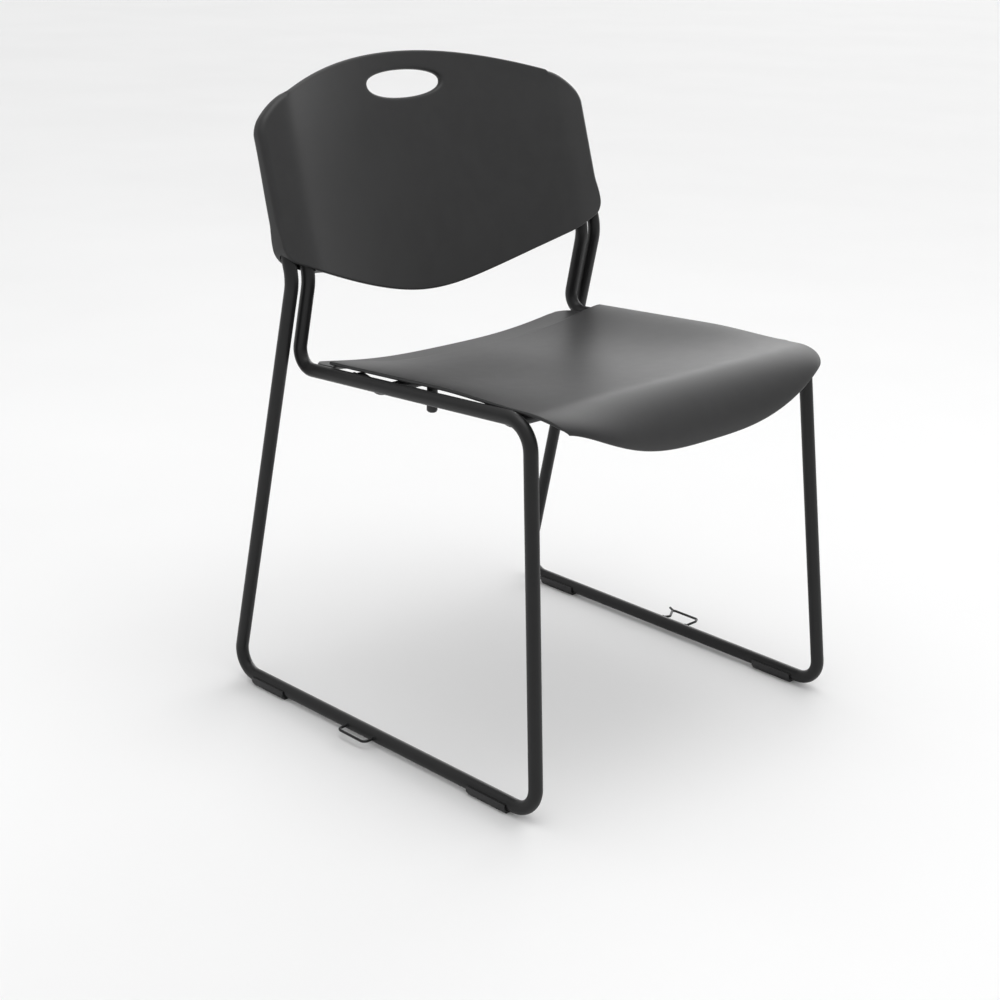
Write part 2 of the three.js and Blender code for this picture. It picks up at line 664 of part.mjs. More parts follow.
// A flat loop on the left runner that a neighbour's hook drops into.
function gangingLoop() {
  const x = tubeFace((LOOP.front + LOOP.rear) / 2, 0);
  const corners = [
    vec(-tubeFace(LOOP.rear, 0), LOOP.rear, RUNNER_Z),
    vec(-x - LOOP.reach, LOOP.rear, RUNNER_Z),
    vec(-x - LOOP.reach, LOOP.front, RUNNER_Z),
    vec(-tubeFace(LOOP.front, 0), LOOP.front, RUNNER_Z),
  ];
  return sweep(new BentLine(corners, [LOOP.bend, LOOP.bend], WIRE_STEPS), WIRE_RADIUS, WIRE_SIDES);
}

// The hook on the right runner: a bar held off the tube by two legs, the rear one bent like an S,
// with a short spur beyond it.
function gangingHook() {
  const z = RUNNER_Z + HOOK.height;
  const x = tubeFace(HOOK.rear, HOOK.height) + WIRE_RADIUS / 2;
  const out = x + HOOK.reach;
  const corners = [
    vec(x, HOOK.rear, z),
    vec(x + HOOK.reach * 0.3, HOOK.rear - HOOK.spur / 2, z),
    vec(out, HOOK.rear + HOOK.spur, z),
    vec(out, HOOK.front + HOOK.spur / 2, z),
    vec(out - HOOK.spur, HOOK.front, z),
    vec(x, HOOK.front, z),
  ];
  const bends = corners.slice(2).map(() => HOOK.bend);
  const wire = sweep(new BentLine(corners, bends, WIRE_STEPS), WIRE_RADIUS, WIRE_SIDES);
  const root = vec(out - WIRE_RADIUS, HOOK.rear + HOOK.spur - 2 * WIRE_RADIUS, z);
  const tip = vec(out + HOOK.spur / 2, HOOK.rear + 2 * HOOK.spur, z);
  const spur = bar(root, tip, WIRE_RADIUS, WIRE_SIDES);
  return toGeometry(toSolid(wire).add(toSolid(spur)));
}

// ---------- assembly ----------

for (const { name, sign } of SIDES) {
  addPiece(`side_frame_${name}`, sideFrame(sign), blackPowder);
  addPiece(`glide_front_${name}`, glide(sign, GLIDE_FRONT_Y), blackNylon);
  addPiece(`glide_rear_${name}`, glide(sign, GLIDE_REAR_Y), blackNylon);
  addPiece(`stacking_bumper_${name}`, bumper(sign), blackNylon);
  addPiece(`back_screw_inner_${name}`, backScrew(sign * INNER_UPRIGHT_X), blackSteel);
  addPiece(`back_screw_outer_${name}`, backScrew(sign * OUTER_UPRIGHT_X), blackSteel);
}
addPiece('cross_rod_front', crossRod(CROSS_FRONT_Y), blackPowder);
addPiece('cross_rod_rear', crossRod(CROSS_REAR_Y), blackPowder);
for (const fixing of SEAT_FIXINGS) {
  addPiece(`seat_tab_${fixing.name}`, seatTab(fixing.x, fixing.rodY, fixing.inward), blackPowder);
  addPiece(`seat_screw_${fixing.name}`, seatScrew(fixing), blackSteel);
}
addPiece('seat_shell', seatShell(), blackShell);
addPiece('back_shell', backShell(), blackShell);
addPiece('ganging_loop_left', gangingLoop(), blackPowder);
addPiece('ganging_hook_right', gangingHook(), blackPowder);

const box = new THREE.Box3().setFromObject(chair);
chair.position.set(-(box.min.x + box.max.x) / 2, -(box.min.y + box.max.y) / 2, -box.min.z);

export default chair;
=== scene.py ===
import math

import bmesh
import bpy
import numpy as np
from mathutils import Matrix, Vector


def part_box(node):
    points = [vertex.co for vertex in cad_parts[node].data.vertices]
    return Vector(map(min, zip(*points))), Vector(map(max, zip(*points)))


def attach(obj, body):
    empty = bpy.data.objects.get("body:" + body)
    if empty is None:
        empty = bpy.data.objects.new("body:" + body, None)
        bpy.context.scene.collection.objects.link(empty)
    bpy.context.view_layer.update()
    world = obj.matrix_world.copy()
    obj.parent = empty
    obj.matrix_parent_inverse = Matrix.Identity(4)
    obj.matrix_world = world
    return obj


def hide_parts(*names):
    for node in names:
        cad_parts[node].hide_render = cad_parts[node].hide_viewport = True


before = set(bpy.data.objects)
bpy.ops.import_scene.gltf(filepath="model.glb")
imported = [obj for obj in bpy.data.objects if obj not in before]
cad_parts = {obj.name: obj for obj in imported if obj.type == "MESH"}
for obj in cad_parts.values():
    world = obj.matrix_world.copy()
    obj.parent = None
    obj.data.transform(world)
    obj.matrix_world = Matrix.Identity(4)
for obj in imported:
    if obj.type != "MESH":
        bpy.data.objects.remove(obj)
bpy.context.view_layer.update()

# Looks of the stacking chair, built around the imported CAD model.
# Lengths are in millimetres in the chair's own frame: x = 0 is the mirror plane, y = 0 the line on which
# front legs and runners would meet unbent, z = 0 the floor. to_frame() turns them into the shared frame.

MM = 0.001

# ---------- sizes shared with the CAD model ----------

GAP = 0.3
TUBE_RADIUS = 7.95
TUBE_WALL = 1.6
SOLE = 2.2
RUNNER_Z = TUBE_RADIUS + SOLE
FOOT_FRONT = (251.4, 0.0, RUNNER_Z)
FOOT_REAR = (256.0, 518.3, RUNNER_Z)
RAIL_FRONT = (230.4, 46.0, RUNNER_Z + 423.8)
RAIL_REAR = (227.3, 428.7, RUNNER_Z + 402.4)
KNEE_Y = 406.7
KNEE_Z = RUNNER_Z + 511
INNER_UPRIGHT_X = 226.1
OUTER_UPRIGHT_X = 250.0
RECLINE = math.atan(0.314)
UPRIGHT_LENGTH = 163.0
BENDS = [55, 22, 34, 28, 28, 55]      # knee, rail rear, rail front, two floor bends, knee

CROSS_RADIUS = 6.35
CROSS_DROP = 20.0
CROSS_SLOPE = 34.0
CROSS_BEND = 16.0
CROSS_STUB = 6.0
CROSS_FRONT_Y = 115.0
CROSS_REAR_Y = 330.0
TAB_WIDTH = 24.0
TAB_LENGTH = 34.0
TAB_THICKNESS = 2.5
TAB_X = 120.0
TAB_SCREW_OFFSET = 17.0

SHELL = 4.0
SEAT_HALF_WIDTH = 227.0
TAIL_HALF_WIDTH = 213.0
NOTCH_Y = 371.0
NOTCH_LENGTH = 4.0
SEAT_REAR_Y = 426.0
SEAT_REAR_CORNER = 26.0
RIM_ABOVE_RAIL = 14.5
TAIL_DROP = 9.5
TAIL_RAMP = 14.0
CREST_Y = 52.0
DISH_Y = 235.0
DISH_CREST, DISH_MIDDLE, DISH_REAR = 6.0, 17.0, 26.0
LIP_Y, LIP_Z = -8.0, RUNNER_Z + 372
LIP_END_X, LIP_END_Y, LIP_END_Z = 211.0, 9.2, RUNNER_Z + 413.8
LIP_END_POWER = 6.5
LIP_SHARE = 0.26
BOSS_RADIUS = 7.0

BACK_HALF_WIDTH = 260.8
SLEEVE_INNER_X = 214.0
SLEEVE_THICKNESS = 22.0
POCKET_CLEARANCE = 1.0
BACK_TOP_Z, BACK_ARCH, BACK_SHOULDER, BACK_TOP_CORNER = RUNNER_Z + 742, 31.0, 0.0076, 10.0
BACK_BOTTOM_Z, BACK_SLOPE, BACK_ROUND, BACK_BOTTOM_CORNER = RUNNER_Z + 462.5, 0.42, 108.0, 14.0
RECESS_TOP, RECESS_BOTTOM = 45.0, 57.0
BACK_SCREW_UP = 85.0

GLIDE_LENGTH = 60.0
GLIDE_HALF_WIDTH = 10.3
GLIDE_WRAP = 1.5
GLIDE_WALL_FOOT = -4.5
GLIDE_SOLE_HALF_WIDTH = 6.4
GLIDE_FRONT_Y, GLIDE_REAR_Y = 38.0, 420.0
BUMPER_X, BUMPER_Y, BUMPER_RADIUS, BUMPER_BOTTOM = 212.8, 213.0, 6.0, RUNNER_Z + 393.5
WIRE_RADIUS = 1.6
LOOP_REAR, LOOP_FRONT, LOOP_REACH, LOOP_BEND = 301.0, 254.0, 14.0, 6.0
HOOK_REAR, HOOK_FRONT, HOOK_REACH, HOOK_BEND, HOOK_SPUR, HOOK_HEIGHT = 262.0, 223.0, 26.0, 3.0, 8.0, 4.0
SCREW_RADIUS, SCREW_HEAD, SCREW_HEAD_HEIGHT = 2.1, 4.4, 2.6

# ---------- sizes that only the looks need, or that are finer here than in the CAD model ----------

BOWL_FLOOR, BOWL_RIM = 3.0, 1.6  # how slowly the seat's bowl rises, and how gently it meets the rim
HOLE_HALF_WIDTH, HOLE_Z, HOLE_RISE, HOLE_DROP, HOLE_POWER = 59.5, RUNNER_Z + 706, 14.5, 17.8, 2.12
TUBE_SIDES = 48
ROD_SIDES = 40
WIRE_SIDES = 24
BEAD_SIDES = 12
TUBE_OPEN_DEPTH = 25.0           # how deep the tubes' open ends are modelled
ROD_STUB_BEND = 5.0
ROD_WELD_RADIUS, ROD_WELD_POINTS = 1.3, 44
TAB_WELD_RADIUS, TAB_WELD_POINTS = 1.5, 22
WIRE_WELD_RADIUS, WIRE_WELD_POINTS = 0.95, 26
TAB_EDGE = 0.6
TAB_HOLE_RADIUS, TAB_HOLE_CHAMFER = SCREW_RADIUS + 0.5, 0.3
SOCKET_RADIUS, SOCKET_DEPTH = 1.55, 1.7
SHANK_LENGTH = 6.0               # the part of a screw's shank that is modelled
GLIDE_EDGE, GLIDE_BEVEL = 0.7, 0.5
BUMPER_DOME = 3.6                # height of a bumper's rounded foot
PANEL_ROWS = 92                  # rows of the back's mesh between its upper and lower edges
HOLE_COLUMNS = 22                # columns each side of the middle that the hand hole's rings replace
HOLE_MARGIN = 14.0               # room below the hand hole for its rings
BACK_EDGE = 7.0                  # rounding of the back's top and sides
BACK_LOWER_EDGE = 1.9            # rounding of its lower edge
SLEEVE_REAR_EDGE = 12.0          # rounding of the sleeves' rear edges
TOP_RIM_DEPTH = 6.4              # thickness along the back's top edge
HOLE_RIM_DEPTH = 10.0            # thickness round the hand hole
RIM_HEIGHT = 9.0                 # height of those two thicker rims
HOLE_EDGE = 4.5                  # rounding of the hand hole
CREASE_EASE = 13.0               # softness of the crease between the panel and a sleeve
SLEEVE_EASE = 7.0                # width over which the thin panel grows into a sleeve
CREST_EASE = 14.0                # reach, each way, of the smooth turn from the seat into its lip
FRONT_EDGE_DROP = 6.0            # how far the seat's side edges ease down at its front corners
FRONT_EDGE_Y = 190.0             # where they start to

# ---------- camera and lights ----------

CAMERA_AZIMUTH, CAMERA_ELEVATION, CAMERA_ROLL = -44.819, 19.282, 1.377
CAMERA_DISTANCE = 2264.04
CAMERA_TARGET = (6.67, 325.78, RUNNER_Z + 212.14)
CAMERA_LENS, CAMERA_SENSOR = 65.6, 36.0
FLOOR_REACH = 60000.0
DOME_HORIZON, DOME_ZENITH = 0.5, 1.0
PATCH_CORE = 0.5                      # share of a patch's reach that has its full strength
DOME_PATCHES = [(68, 15, 27, 3.0), (90, 2, 24, 0.6)]  # azimuth, elevation, reach in degrees, and strength

SIDES = (("left", -1), ("right", 1))


def frame_origin():
    """Where x = 0, y = 0, z = 0 of the chair's own frame lies in the shared frame, in metres."""
    left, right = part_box("side_frame_left"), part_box("side_frame_right")
    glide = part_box("glide_front_left")
    glide_middle = (GLIDE_FRONT_Y + GLIDE_LENGTH / 2) * MM
    return np.array([(left[0].x + right[1].x) / 2, (glide[0].y + glide[1].y) / 2 - glide_middle, 0.0])


ORIGIN = frame_origin()


def to_frame(points):
    return np.asarray(points, float) * MM + ORIGIN


def unit(v):
    return v / np.linalg.norm(v)


def lerp(a, b, share):
    return a + (b - a) * share


def smoothstep(x, low, high):
    share = np.clip((x - low) / (high - low), 0, 1)
    return share * share * (3 - 2 * share)


# ---------- materials ----------


class Nodes:
    """A short way to write a material's node tree."""

    def __init__(self, name):
        self.material = bpy.data.materials.new(name)
        self.material.use_nodes = True
        self.tree = self.material.node_tree
        self.shader = self.tree.nodes["Principled BSDF"]
        coordinates = self.tree.nodes.new("ShaderNodeTexCoord")
        self.where = coordinates.outputs["Object"]

    def node(self, kind, links=(), **settings):
        made = self.tree.nodes.new(kind)
        for key, value in settings.items():
            setattr(made, key, value)
        for socket, value in dict(links).items():
            if hasattr(value, "is_output"):
                self.tree.links.new(value, made.inputs[socket])
            else:
                made.inputs[socket].default_value = value
        return made

    def noise(self, scale, detail=3.0, roughness=0.55, where=None):
        links = {"Vector": where or self.where, "Scale": scale, "Detail": detail, "Roughness": roughness}
        return self.node("ShaderNodeTexNoise", links).outputs["Fac"]

    def stretched(self, factors):
        return self.node("ShaderNodeMapping", {"Vector": self.where, "Scale": factors}).outputs["Vector"]

    def spread(self, value, low, high, to_low, to_high):
        links = {"Value": value, "From Min": low, "From Max": high, "To Min": to_low, "To Max": to_high}
        return self.node("ShaderNodeMapRange", links).outputs["Result"]

    def mix(self, share, low, high):
        made = self.node("ShaderNodeMix", data_type="RGBA")
        self.tree.links.new(share, made.inputs[0])
        made.inputs[6].default_value = (*low, 1)
        made.inputs[7].default_value = (*high, 1)
        return made.outputs[2]

    def math(self, operation, a, b):
        return self.node("ShaderNodeMath", {0: a, 1: b}, operation=operation).outputs[0]

    def bump(self, height, distance, strength, normal=None):
        links = {"Height": height, "Distance": distance, "Strength": strength}
        if normal is not None:
            links["Normal"] = normal
        return self.node("ShaderNodeBump", links).outputs["Normal"]

    def finish(self, colour=None, roughness=None, normal=None, **values):
        for socket, value in (("Base Color", colour), ("Roughness", roughness), ("Normal", normal)):
            if value is not None:
                self.tree.links.new(value, self.shader.inputs[socket])
        for socket, value in values.items():
            self.shader.inputs[socket.replace("_", " ")].default_value = value
        return self.material


def moulded_plastic(name, dark, light, rough_low, rough_high):
    """Polypropylene from a spark-eroded mould: a fine even grain, slow mottling, and faint rubbed streaks."""
    n = Nodes(name)
    mottle = n.noise(14, 4)
    patches = n.noise(55, 3)
    grain = n.noise(1500, 2, 0.6)
    coarse = n.noise(420, 2, 0.5)
    streaks = n.noise(26, 5, 0.7, n.stretched((1.0, 9.0, 3.0)))
    rubbed = n.spread(streaks, 0.58, 0.78, 0, 1)
    tone = n.spread(n.math("ADD", mottle, patches), 0.8, 1.2, 0, 1)
    satin = n.spread(n.math("ADD", patches, grain), 0.75, 1.25, rough_low, rough_high)
    roughness = n.math("SUBTRACT", satin, n.math("MULTIPLY", rubbed, 0.012))
    normal = n.bump(coarse, 0.00006, 0.35, n.bump(grain, 0.00003, 0.4))
    return n.finish(n.mix(tone, dark, light), roughness, normal, Specular_IOR_Level=0.5)


def powder_coat(name):
    """Satin black powder on steel tube: orange peel, slightly glossier where it has been rubbed."""
    n = Nodes(name)
    peel = n.noise(520, 2, 0.5)
    fine = n.noise(2100, 2, 0.6)
    cloud = n.noise(22, 4)
    scuffs = n.noise(75, 6, 0.75, n.stretched((2.0, 0.5, 2.0)))
    rubbed = n.spread(scuffs, 0.62, 0.8, 0, 1)
    satin = n.spread(n.math("ADD", cloud, fine), 0.8, 1.2, 0.36, 0.46)
    roughness = n.math("SUBTRACT", satin, n.math("MULTIPLY", rubbed, 0.06))
    tone = n.spread(cloud, 0.35, 0.65, 0, 1)
    normal = n.bump(peel, 0.00008, 0.3, n.bump(fine, 0.00003, 0.3))
    return n.finish(n.mix(tone, (0.0075, 0.0075, 0.0078), (0.0105, 0.0105, 0.0109)), roughness, normal,
                    Specular_IOR_Level=0.32)


def nylon(name):
    """Moulded black nylon, with fine scratches along the floor's direction of travel."""
    n = Nodes(name)
    cloud = n.noise(60, 3)
    scratches = n.noise(300, 4, 0.7, n.stretched((3.0, 0.2, 3.0)))
    roughness = n.spread(n.math("ADD", cloud, scratches), 0.8, 1.2, 0.42, 0.56)
    normal = n.bump(scratches, 0.00005, 0.3)
    tone = n.spread(cloud, 0.35, 0.65, 0, 1)
    return n.finish(n.mix(tone, (0.009, 0.009, 0.0095), (0.014, 0.014, 0.0145)), roughness, normal)


def black_oxide(name):
    """Blackened steel screws: a dark metal with a thin oily mottle."""
    n = Nodes(name)
    mottle = n.noise(900, 4, 0.6)
    roughness = n.spread(mottle, 0.35, 0.65, 0.3, 0.46)
    tone = n.spread(mottle, 0.4, 0.6, 0, 1)
    normal = n.bump(mottle, 0.00003, 0.3)
    colour = n.mix(tone, (0.045, 0.045, 0.048), (0.075, 0.075, 0.078))
    return n.finish(colour, roughness, normal, Metallic=0.85)


def pale_floor(name):
    n = Nodes(name)
    cloud = n.noise(1.2, 3)
    tone = n.spread(cloud, 0.35, 0.65, 0, 1)
    roughness = n.spread(cloud, 0.35, 0.65, 0.75, 0.85)
    normal = n.bump(n.noise(400, 2), 0.0002, 0.1)
    return n.finish(n.mix(tone, (0.88, 0.88, 0.88), (0.9, 0.9, 0.9)), roughness, normal,
                    Specular_IOR_Level=0.2)


POWDER = powder_coat("satin_black_powder")
BLACK_DARK, BLACK_LIGHT = (0.013, 0.013, 0.0134), (0.0165, 0.0165, 0.017)
SEAT_PLASTIC = moulded_plastic("seat_polypropylene", BLACK_DARK, BLACK_LIGHT, 0.45, 0.48)
BACK_PLASTIC = moulded_plastic("back_polypropylene", BLACK_DARK, BLACK_LIGHT, 0.47, 0.51)
NYLON = nylon("black_nylon")
OXIDE = black_oxide("black_oxide_steel")

FINISHES = {
    "frame_powder": POWDER,
    "seat_plastic": SEAT_PLASTIC,
    "back_plastic": BACK_PLASTIC,
    "nylon": NYLON,
    "screw_steel": OXIDE,
}

# ---------- mesh helpers ----------

SHARP = math.radians(38)


def new_mesh(name, points, faces):
    mesh = bpy.data.meshes.new(name)
    mesh.from_pydata(to_frame(points).tolist(), [], [tuple(int(i) for i in face) for face in faces])
    return mesh


def tidy_normals(mesh):
    """Faces point outward and are smooth, apart from edges sharper than SHARP."""
    shape = bmesh.new()
    shape.from_mesh(mesh)
    bmesh.ops.remove_doubles(shape, verts=shape.verts, dist=1e-7)
    bmesh.ops.recalc_face_normals(shape, faces=shape.faces)
    for face in shape.faces:
        face.smooth = True
    for edge in shape.edges:
        edge.smooth = len(edge.link_faces) == 2 and edge.calc_face_angle() < SHARP
    shape.to_mesh(mesh)
    shape.free()
    mesh.update()


def add_piece(name, mesh, slot, nodes=()):
    """A piece that rides on the chair, takes the slot's finish and stands for these CAD nodes."""
    tidy_normals(mesh)
    piece = bpy.data.objects.new(name, mesh)
    bpy.context.scene.collection.objects.link(piece)
    mesh.materials.append(FINISHES[slot])
    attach(piece, "root")
    if nodes:
        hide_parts(*nodes)
    return piece


def ring_quads(rings, rows):
    """Quads between successive rings of equal length; the ring after the last is the first."""
    count = len(rings[0])
    faces = []
    for row in range(rows):
        here, ahead = row * count, (row + 1) % len(rings) * count
        for i in range(count):
            n = (i + 1) % count
            faces.append((here + i, here + n, ahead + n, ahead + i))
    return faces


def skin(rings):
    """Points and faces of a closed skin over rings of equal length, with a flat cap at each end."""
    count = len(rings[0])
    faces = ring_quads(rings, len(rings) - 1)
    faces.append(tuple(range(count))[::-1])
    faces.append(tuple(range((len(rings) - 1) * count, len(rings) * count)))
    return np.concatenate(rings), faces


def loop_quads(loops):
    """Quads between successive loops of point numbers."""
    faces = []
    for here, ahead in zip(loops, loops[1:]):
        for k in range(len(here)):
            n = (k + 1) % len(here)
            faces.append((here[k], ahead[k], ahead[n], here[n]))
    return faces


def hoop(rings):
    """Points and faces of a closed skin over rings that come round to the first again."""
    return np.concatenate(rings), ring_quads(rings, len(rings))


def join_shapes(shapes):
    """One list of points and faces out of several."""
    points, faces, start = [], [], 0
    for part_points, part_faces in shapes:
        points.append(part_points)
        faces += [tuple(i + start for i in face) for face in part_faces]
        start += len(part_points)
    return np.concatenate(points), faces


def bent_line(corners, bends, step=math.radians(3)):
    """Points and directions along straight runs, joined by arcs of the given radii."""
    corners = [np.array(c, float) for c in corners]
    points = [corners[0]]
    directions = [unit(corners[1] - corners[0])]
    for before, at, after, radius in zip(corners, corners[1:], corners[2:], bends):
        into, out = unit(at - before), unit(after - at)
        turn = math.acos(np.clip(into @ out, -1, 1))
        start = at - into * radius * math.tan(turn / 2)
        inward = unit(out - into * (out @ into))
        for angle in np.linspace(0, turn, max(4, math.ceil(turn / step))):
            points.append(start + radius * (into * math.sin(angle) + inward * (1 - math.cos(angle))))
            directions.append(into * math.cos(angle) + inward * math.sin(angle))
    points.append(corners[-1])
    directions.append(unit(corners[-1] - corners[-2]))
    return np.array(points), np.array(directions)


def cross_directions(directions):
    """Two cross directions at each station, carried along without twist."""
    start = np.array([0, 0, 1.0]) if abs(directions[0][2]) < 0.9 else np.array([1.0, 0, 0])
    side = unit(np.cross(directions[0], start))
    pairs = []
    for direction in directions:
        side = unit(side - direction * (side @ direction))
        pairs.append((side, np.cross(direction, side)))
    return pairs


def circle_ring(centre, pair, radius, sides):
    angles = np.arange(sides) * 2 * math.pi / sides
    return centre + radius * (np.outer(np.cos(angles), pair[0]) + np.outer(np.sin(angles), pair[1]))


def rod(points, directions, radius, sides, edge=0.5):
    """A round rod along the stations, with a small rounding at each end."""
    pairs = cross_directions(directions)
    rings = []
    for share in (0, 0.4):
        rings.append(circle_ring(points[0] + directions[0] * edge * share, pairs[0],
                                 radius - edge * (1 - share) ** 2, sides))
    points = points.copy()
    points[0] = points[0] + directions[0] * edge
    points[-1] = points[-1] - directions[-1] * edge
    rings += [circle_ring(p, pair, radius, sides) for p, pair in zip(points, pairs)]
    for share in (0.6, 1):
        rings.append(circle_ring(points[-1] + directions[-1] * edge * share, pairs[-1],
                                 radius - edge * share ** 2, sides))
    return skin(rings)


def hollow_rod(points, directions, radius, wall, sides, depth):
    """A round tube along the stations, open for a little way at both ends."""
    pairs = cross_directions(directions)
    bore = radius - wall
    rings = [
        circle_ring(points[0] + directions[0] * depth, pairs[0], bore, sides),
        circle_ring(points[0], pairs[0], bore, sides),
    ]
    rings += [circle_ring(p, pair, radius, sides) for p, pair in zip(points, pairs)]
    rings += [
        circle_ring(points[-1], pairs[-1], bore, sides),
        circle_ring(points[-1] - directions[-1] * depth, pairs[-1], bore, sides),
    ]
    return skin(rings)


def turned(profile, centre, axis, sides):
    """A shape turned about an axis: the profile is (radius, distance along the axis)."""
    axis = unit(np.array(axis, float))
    pair = cross_directions([axis])[0]
    return skin([circle_ring(np.array(centre) + axis * along, pair, max(radius, 0.01), sides)
                 for radius, along in profile])


def bead(path, radius, closed=True):
    """A weld bead along a path: a thin bar whose thickness ripples."""
    path = np.array(path, float)
    count = len(path)
    if closed:
        directions = [unit(path[(i + 1) % count] - path[i - 1]) for i in range(count)]
    else:
        directions = [unit(path[min(i + 1, count - 1)] - path[max(i - 1, 0)]) for i in range(count)]
    pairs = cross_directions(directions)
    rings = []
    for i, (point, pair) in enumerate(zip(path, pairs)):
        swell = radius * (1 + 0.13 * math.sin(i * 1.9) + 0.05 * math.sin(i * 0.7 + 1))
        if not closed:
            swell *= math.sqrt(max(0.08, 1 - (2 * i / (count - 1) - 1) ** 4))
        rings.append(circle_ring(point, pair, swell, BEAD_SIDES))
    return hoop(rings) if closed else skin(rings)


# ---------- tube frame ----------


def upright_point(x, up, behind=0.0):
    """A place on an upright: x across, distance up from the knee, depth behind the tube's centre."""
    y = KNEE_Y + up * math.sin(RECLINE) + behind * math.cos(RECLINE)
    z = KNEE_Z + up * math.cos(RECLINE) - behind * math.sin(RECLINE)
    return np.array([x, y, z])


def on_side(place, sign):
    return np.array([sign * place[0], place[1], place[2]])


def rail_share(y):
    return (y - RAIL_FRONT[1]) / (RAIL_REAR[1] - RAIL_FRONT[1])


def rail_z(y):
    return lerp(RAIL_FRONT[2], RAIL_REAR[2], rail_share(y))


def rail_x(y):
    return lerp(RAIL_FRONT[0], RAIL_REAR[0], rail_share(y))


def runner_x(y):
    return lerp(FOOT_FRONT[0], FOOT_REAR[0], y / FOOT_REAR[1])


def frame_tube(name, sign):
    corners = [
        upright_point(sign * INNER_UPRIGHT_X, UPRIGHT_LENGTH),
        upright_point(sign * INNER_UPRIGHT_X, 0),
        on_side(RAIL_REAR, sign),
        on_side(RAIL_FRONT, sign),
        on_side(FOOT_FRONT, sign),
        on_side(FOOT_REAR, sign),
        upright_point(sign * OUTER_UPRIGHT_X, 0),
        upright_point(sign * OUTER_UPRIGHT_X, UPRIGHT_LENGTH),
    ]
    points, directions = bent_line(corners, BENDS)
    shape = hollow_rod(points, directions, TUBE_RADIUS, TUBE_WALL, TUBE_SIDES, TUBE_OPEN_DEPTH)
    add_piece(f"frame_tube_{name}", new_mesh("tube", *shape), "frame_powder", [f"side_frame_{name}"])


# ---------- cross rods, tabs and their welds ----------


def cross_z(y):
    return rail_z(y) - CROSS_DROP


def cross_rod(name, y):
    end = rail_x(y) - TUBE_RADIUS - GAP
    flat = end - CROSS_SLOPE
    corners = [
        (-end, y, rail_z(y)),
        (-end + CROSS_STUB, y, rail_z(y)),
        (-flat, y, cross_z(y)),
        (flat, y, cross_z(y)),
        (end - CROSS_STUB, y, rail_z(y)),
        (end, y, rail_z(y)),
    ]
    points, directions = bent_line(corners, [ROD_STUB_BEND, CROSS_BEND, CROSS_BEND, ROD_STUB_BEND])
    shape = rod(points, directions, CROSS_RADIUS, ROD_SIDES)
    add_piece(f"under_rod_{name}", new_mesh("rod", *shape), "frame_powder", [f"cross_rod_{name}"])
    seam = CROSS_RADIUS + 0.2
    for side, sign in SIDES:
        ring = []
        for angle in np.arange(ROD_WELD_POINTS) * 2 * math.pi / ROD_WELD_POINTS:
            up = seam * math.sin(angle)
            across = rail_x(y) - math.sqrt(TUBE_RADIUS ** 2 - up ** 2)
            ring.append((sign * across, y + seam * math.cos(angle), rail_z(y) + up))
        weld = new_mesh("weld", *bead(ring, ROD_WELD_RADIUS))
        add_piece(f"weld_rod_{name}_{side}", weld, "frame_powder")


def tab_bottom(y):
    return cross_z(y) + CROSS_RADIUS + GAP


def tab_top(y):
    return tab_bottom(y) + TAB_THICKNESS


def tab_outline(inset, count=72):
    """The tab's outline, square at the rod and round at its free end."""
    half = TAB_WIDTH / 2 - inset
    straight = TAB_LENGTH - CROSS_RADIUS - TAB_WIDTH / 2
    base = -CROSS_RADIUS + inset
    points = []
    arc = count // 3
    for i in range(arc + 1):
        angle = math.pi * i / arc
        points.append((half * math.cos(angle), straight + half * math.sin(angle)))
    side = count // 6
    points += [(-half, lerp(straight, base, i / side)) for i in range(1, side + 1)]
    foot = count - len(points) - (side - 1)
    points += [(lerp(-half, half, i / foot), base) for i in range(1, foot + 1)]
    points += [(half, lerp(base, straight, i / side)) for i in range(1, side)]
    return np.array(points)


def seat_tab(name, x, rod_y, inward):
    """A plate with rounded edges and a screw hole, welded on top of a cross rod."""
    outline = tab_outline(0)
    count = len(outline)
    toward = outline - (0, TAB_SCREW_OFFSET)
    hole = toward / np.linalg.norm(toward, axis=1, keepdims=True)
    bottom, top, edge = tab_bottom(rod_y), tab_top(rod_y), TAB_EDGE

    def hole_ring(radius, z):
        return np.column_stack([hole * radius + (0, TAB_SCREW_OFFSET), np.full(count, z)])

    mouth = TAB_HOLE_RADIUS + TAB_HOLE_CHAMFER
    rings = [hole_ring(TAB_HOLE_RADIUS, bottom + TAB_HOLE_CHAMFER), hole_ring(mouth, bottom)]
    for inset, z in ((edge, bottom), (edge * 0.3, bottom + edge * 0.3), (0, bottom + edge),
                     (0, top - edge), (edge * 0.3, top - edge * 0.3), (edge, top)):
        rings.append(np.column_stack([tab_outline(inset), np.full(count, z)]))
    rings += [hole_ring(mouth, top), hole_ring(TAB_HOLE_RADIUS, top - TAB_HOLE_CHAMFER)]
    points, faces = hoop(rings)
    points[:, :2] *= inward
    points += (x, rod_y, 0)
    add_piece(f"tab_{name}", new_mesh("tab", points, faces), "frame_powder", [f"seat_tab_{name}"])
    tab_welds(name, x, rod_y)


def tab_welds(name, x, rod_y):
    """Two short beads between a tab and its cross rod."""
    half = TAB_WIDTH / 2 - TAB_WELD_RADIUS
    beside, below = 4.2, 1.2
    shapes = []
    for sign in (-1, 1):
        line = [(x + across, rod_y + sign * beside, tab_bottom(rod_y) - below)
                for across in np.linspace(-half, half, TAB_WELD_POINTS)]
        shapes.append(bead(line, TAB_WELD_RADIUS, closed=False))
    add_piece(f"weld_tab_{name}", new_mesh("weld", *join_shapes(shapes)), "frame_powder")


# ---------- seat shell ----------


def rim_z(y):
    return rail_z(y) + RIM_ABOVE_RAIL


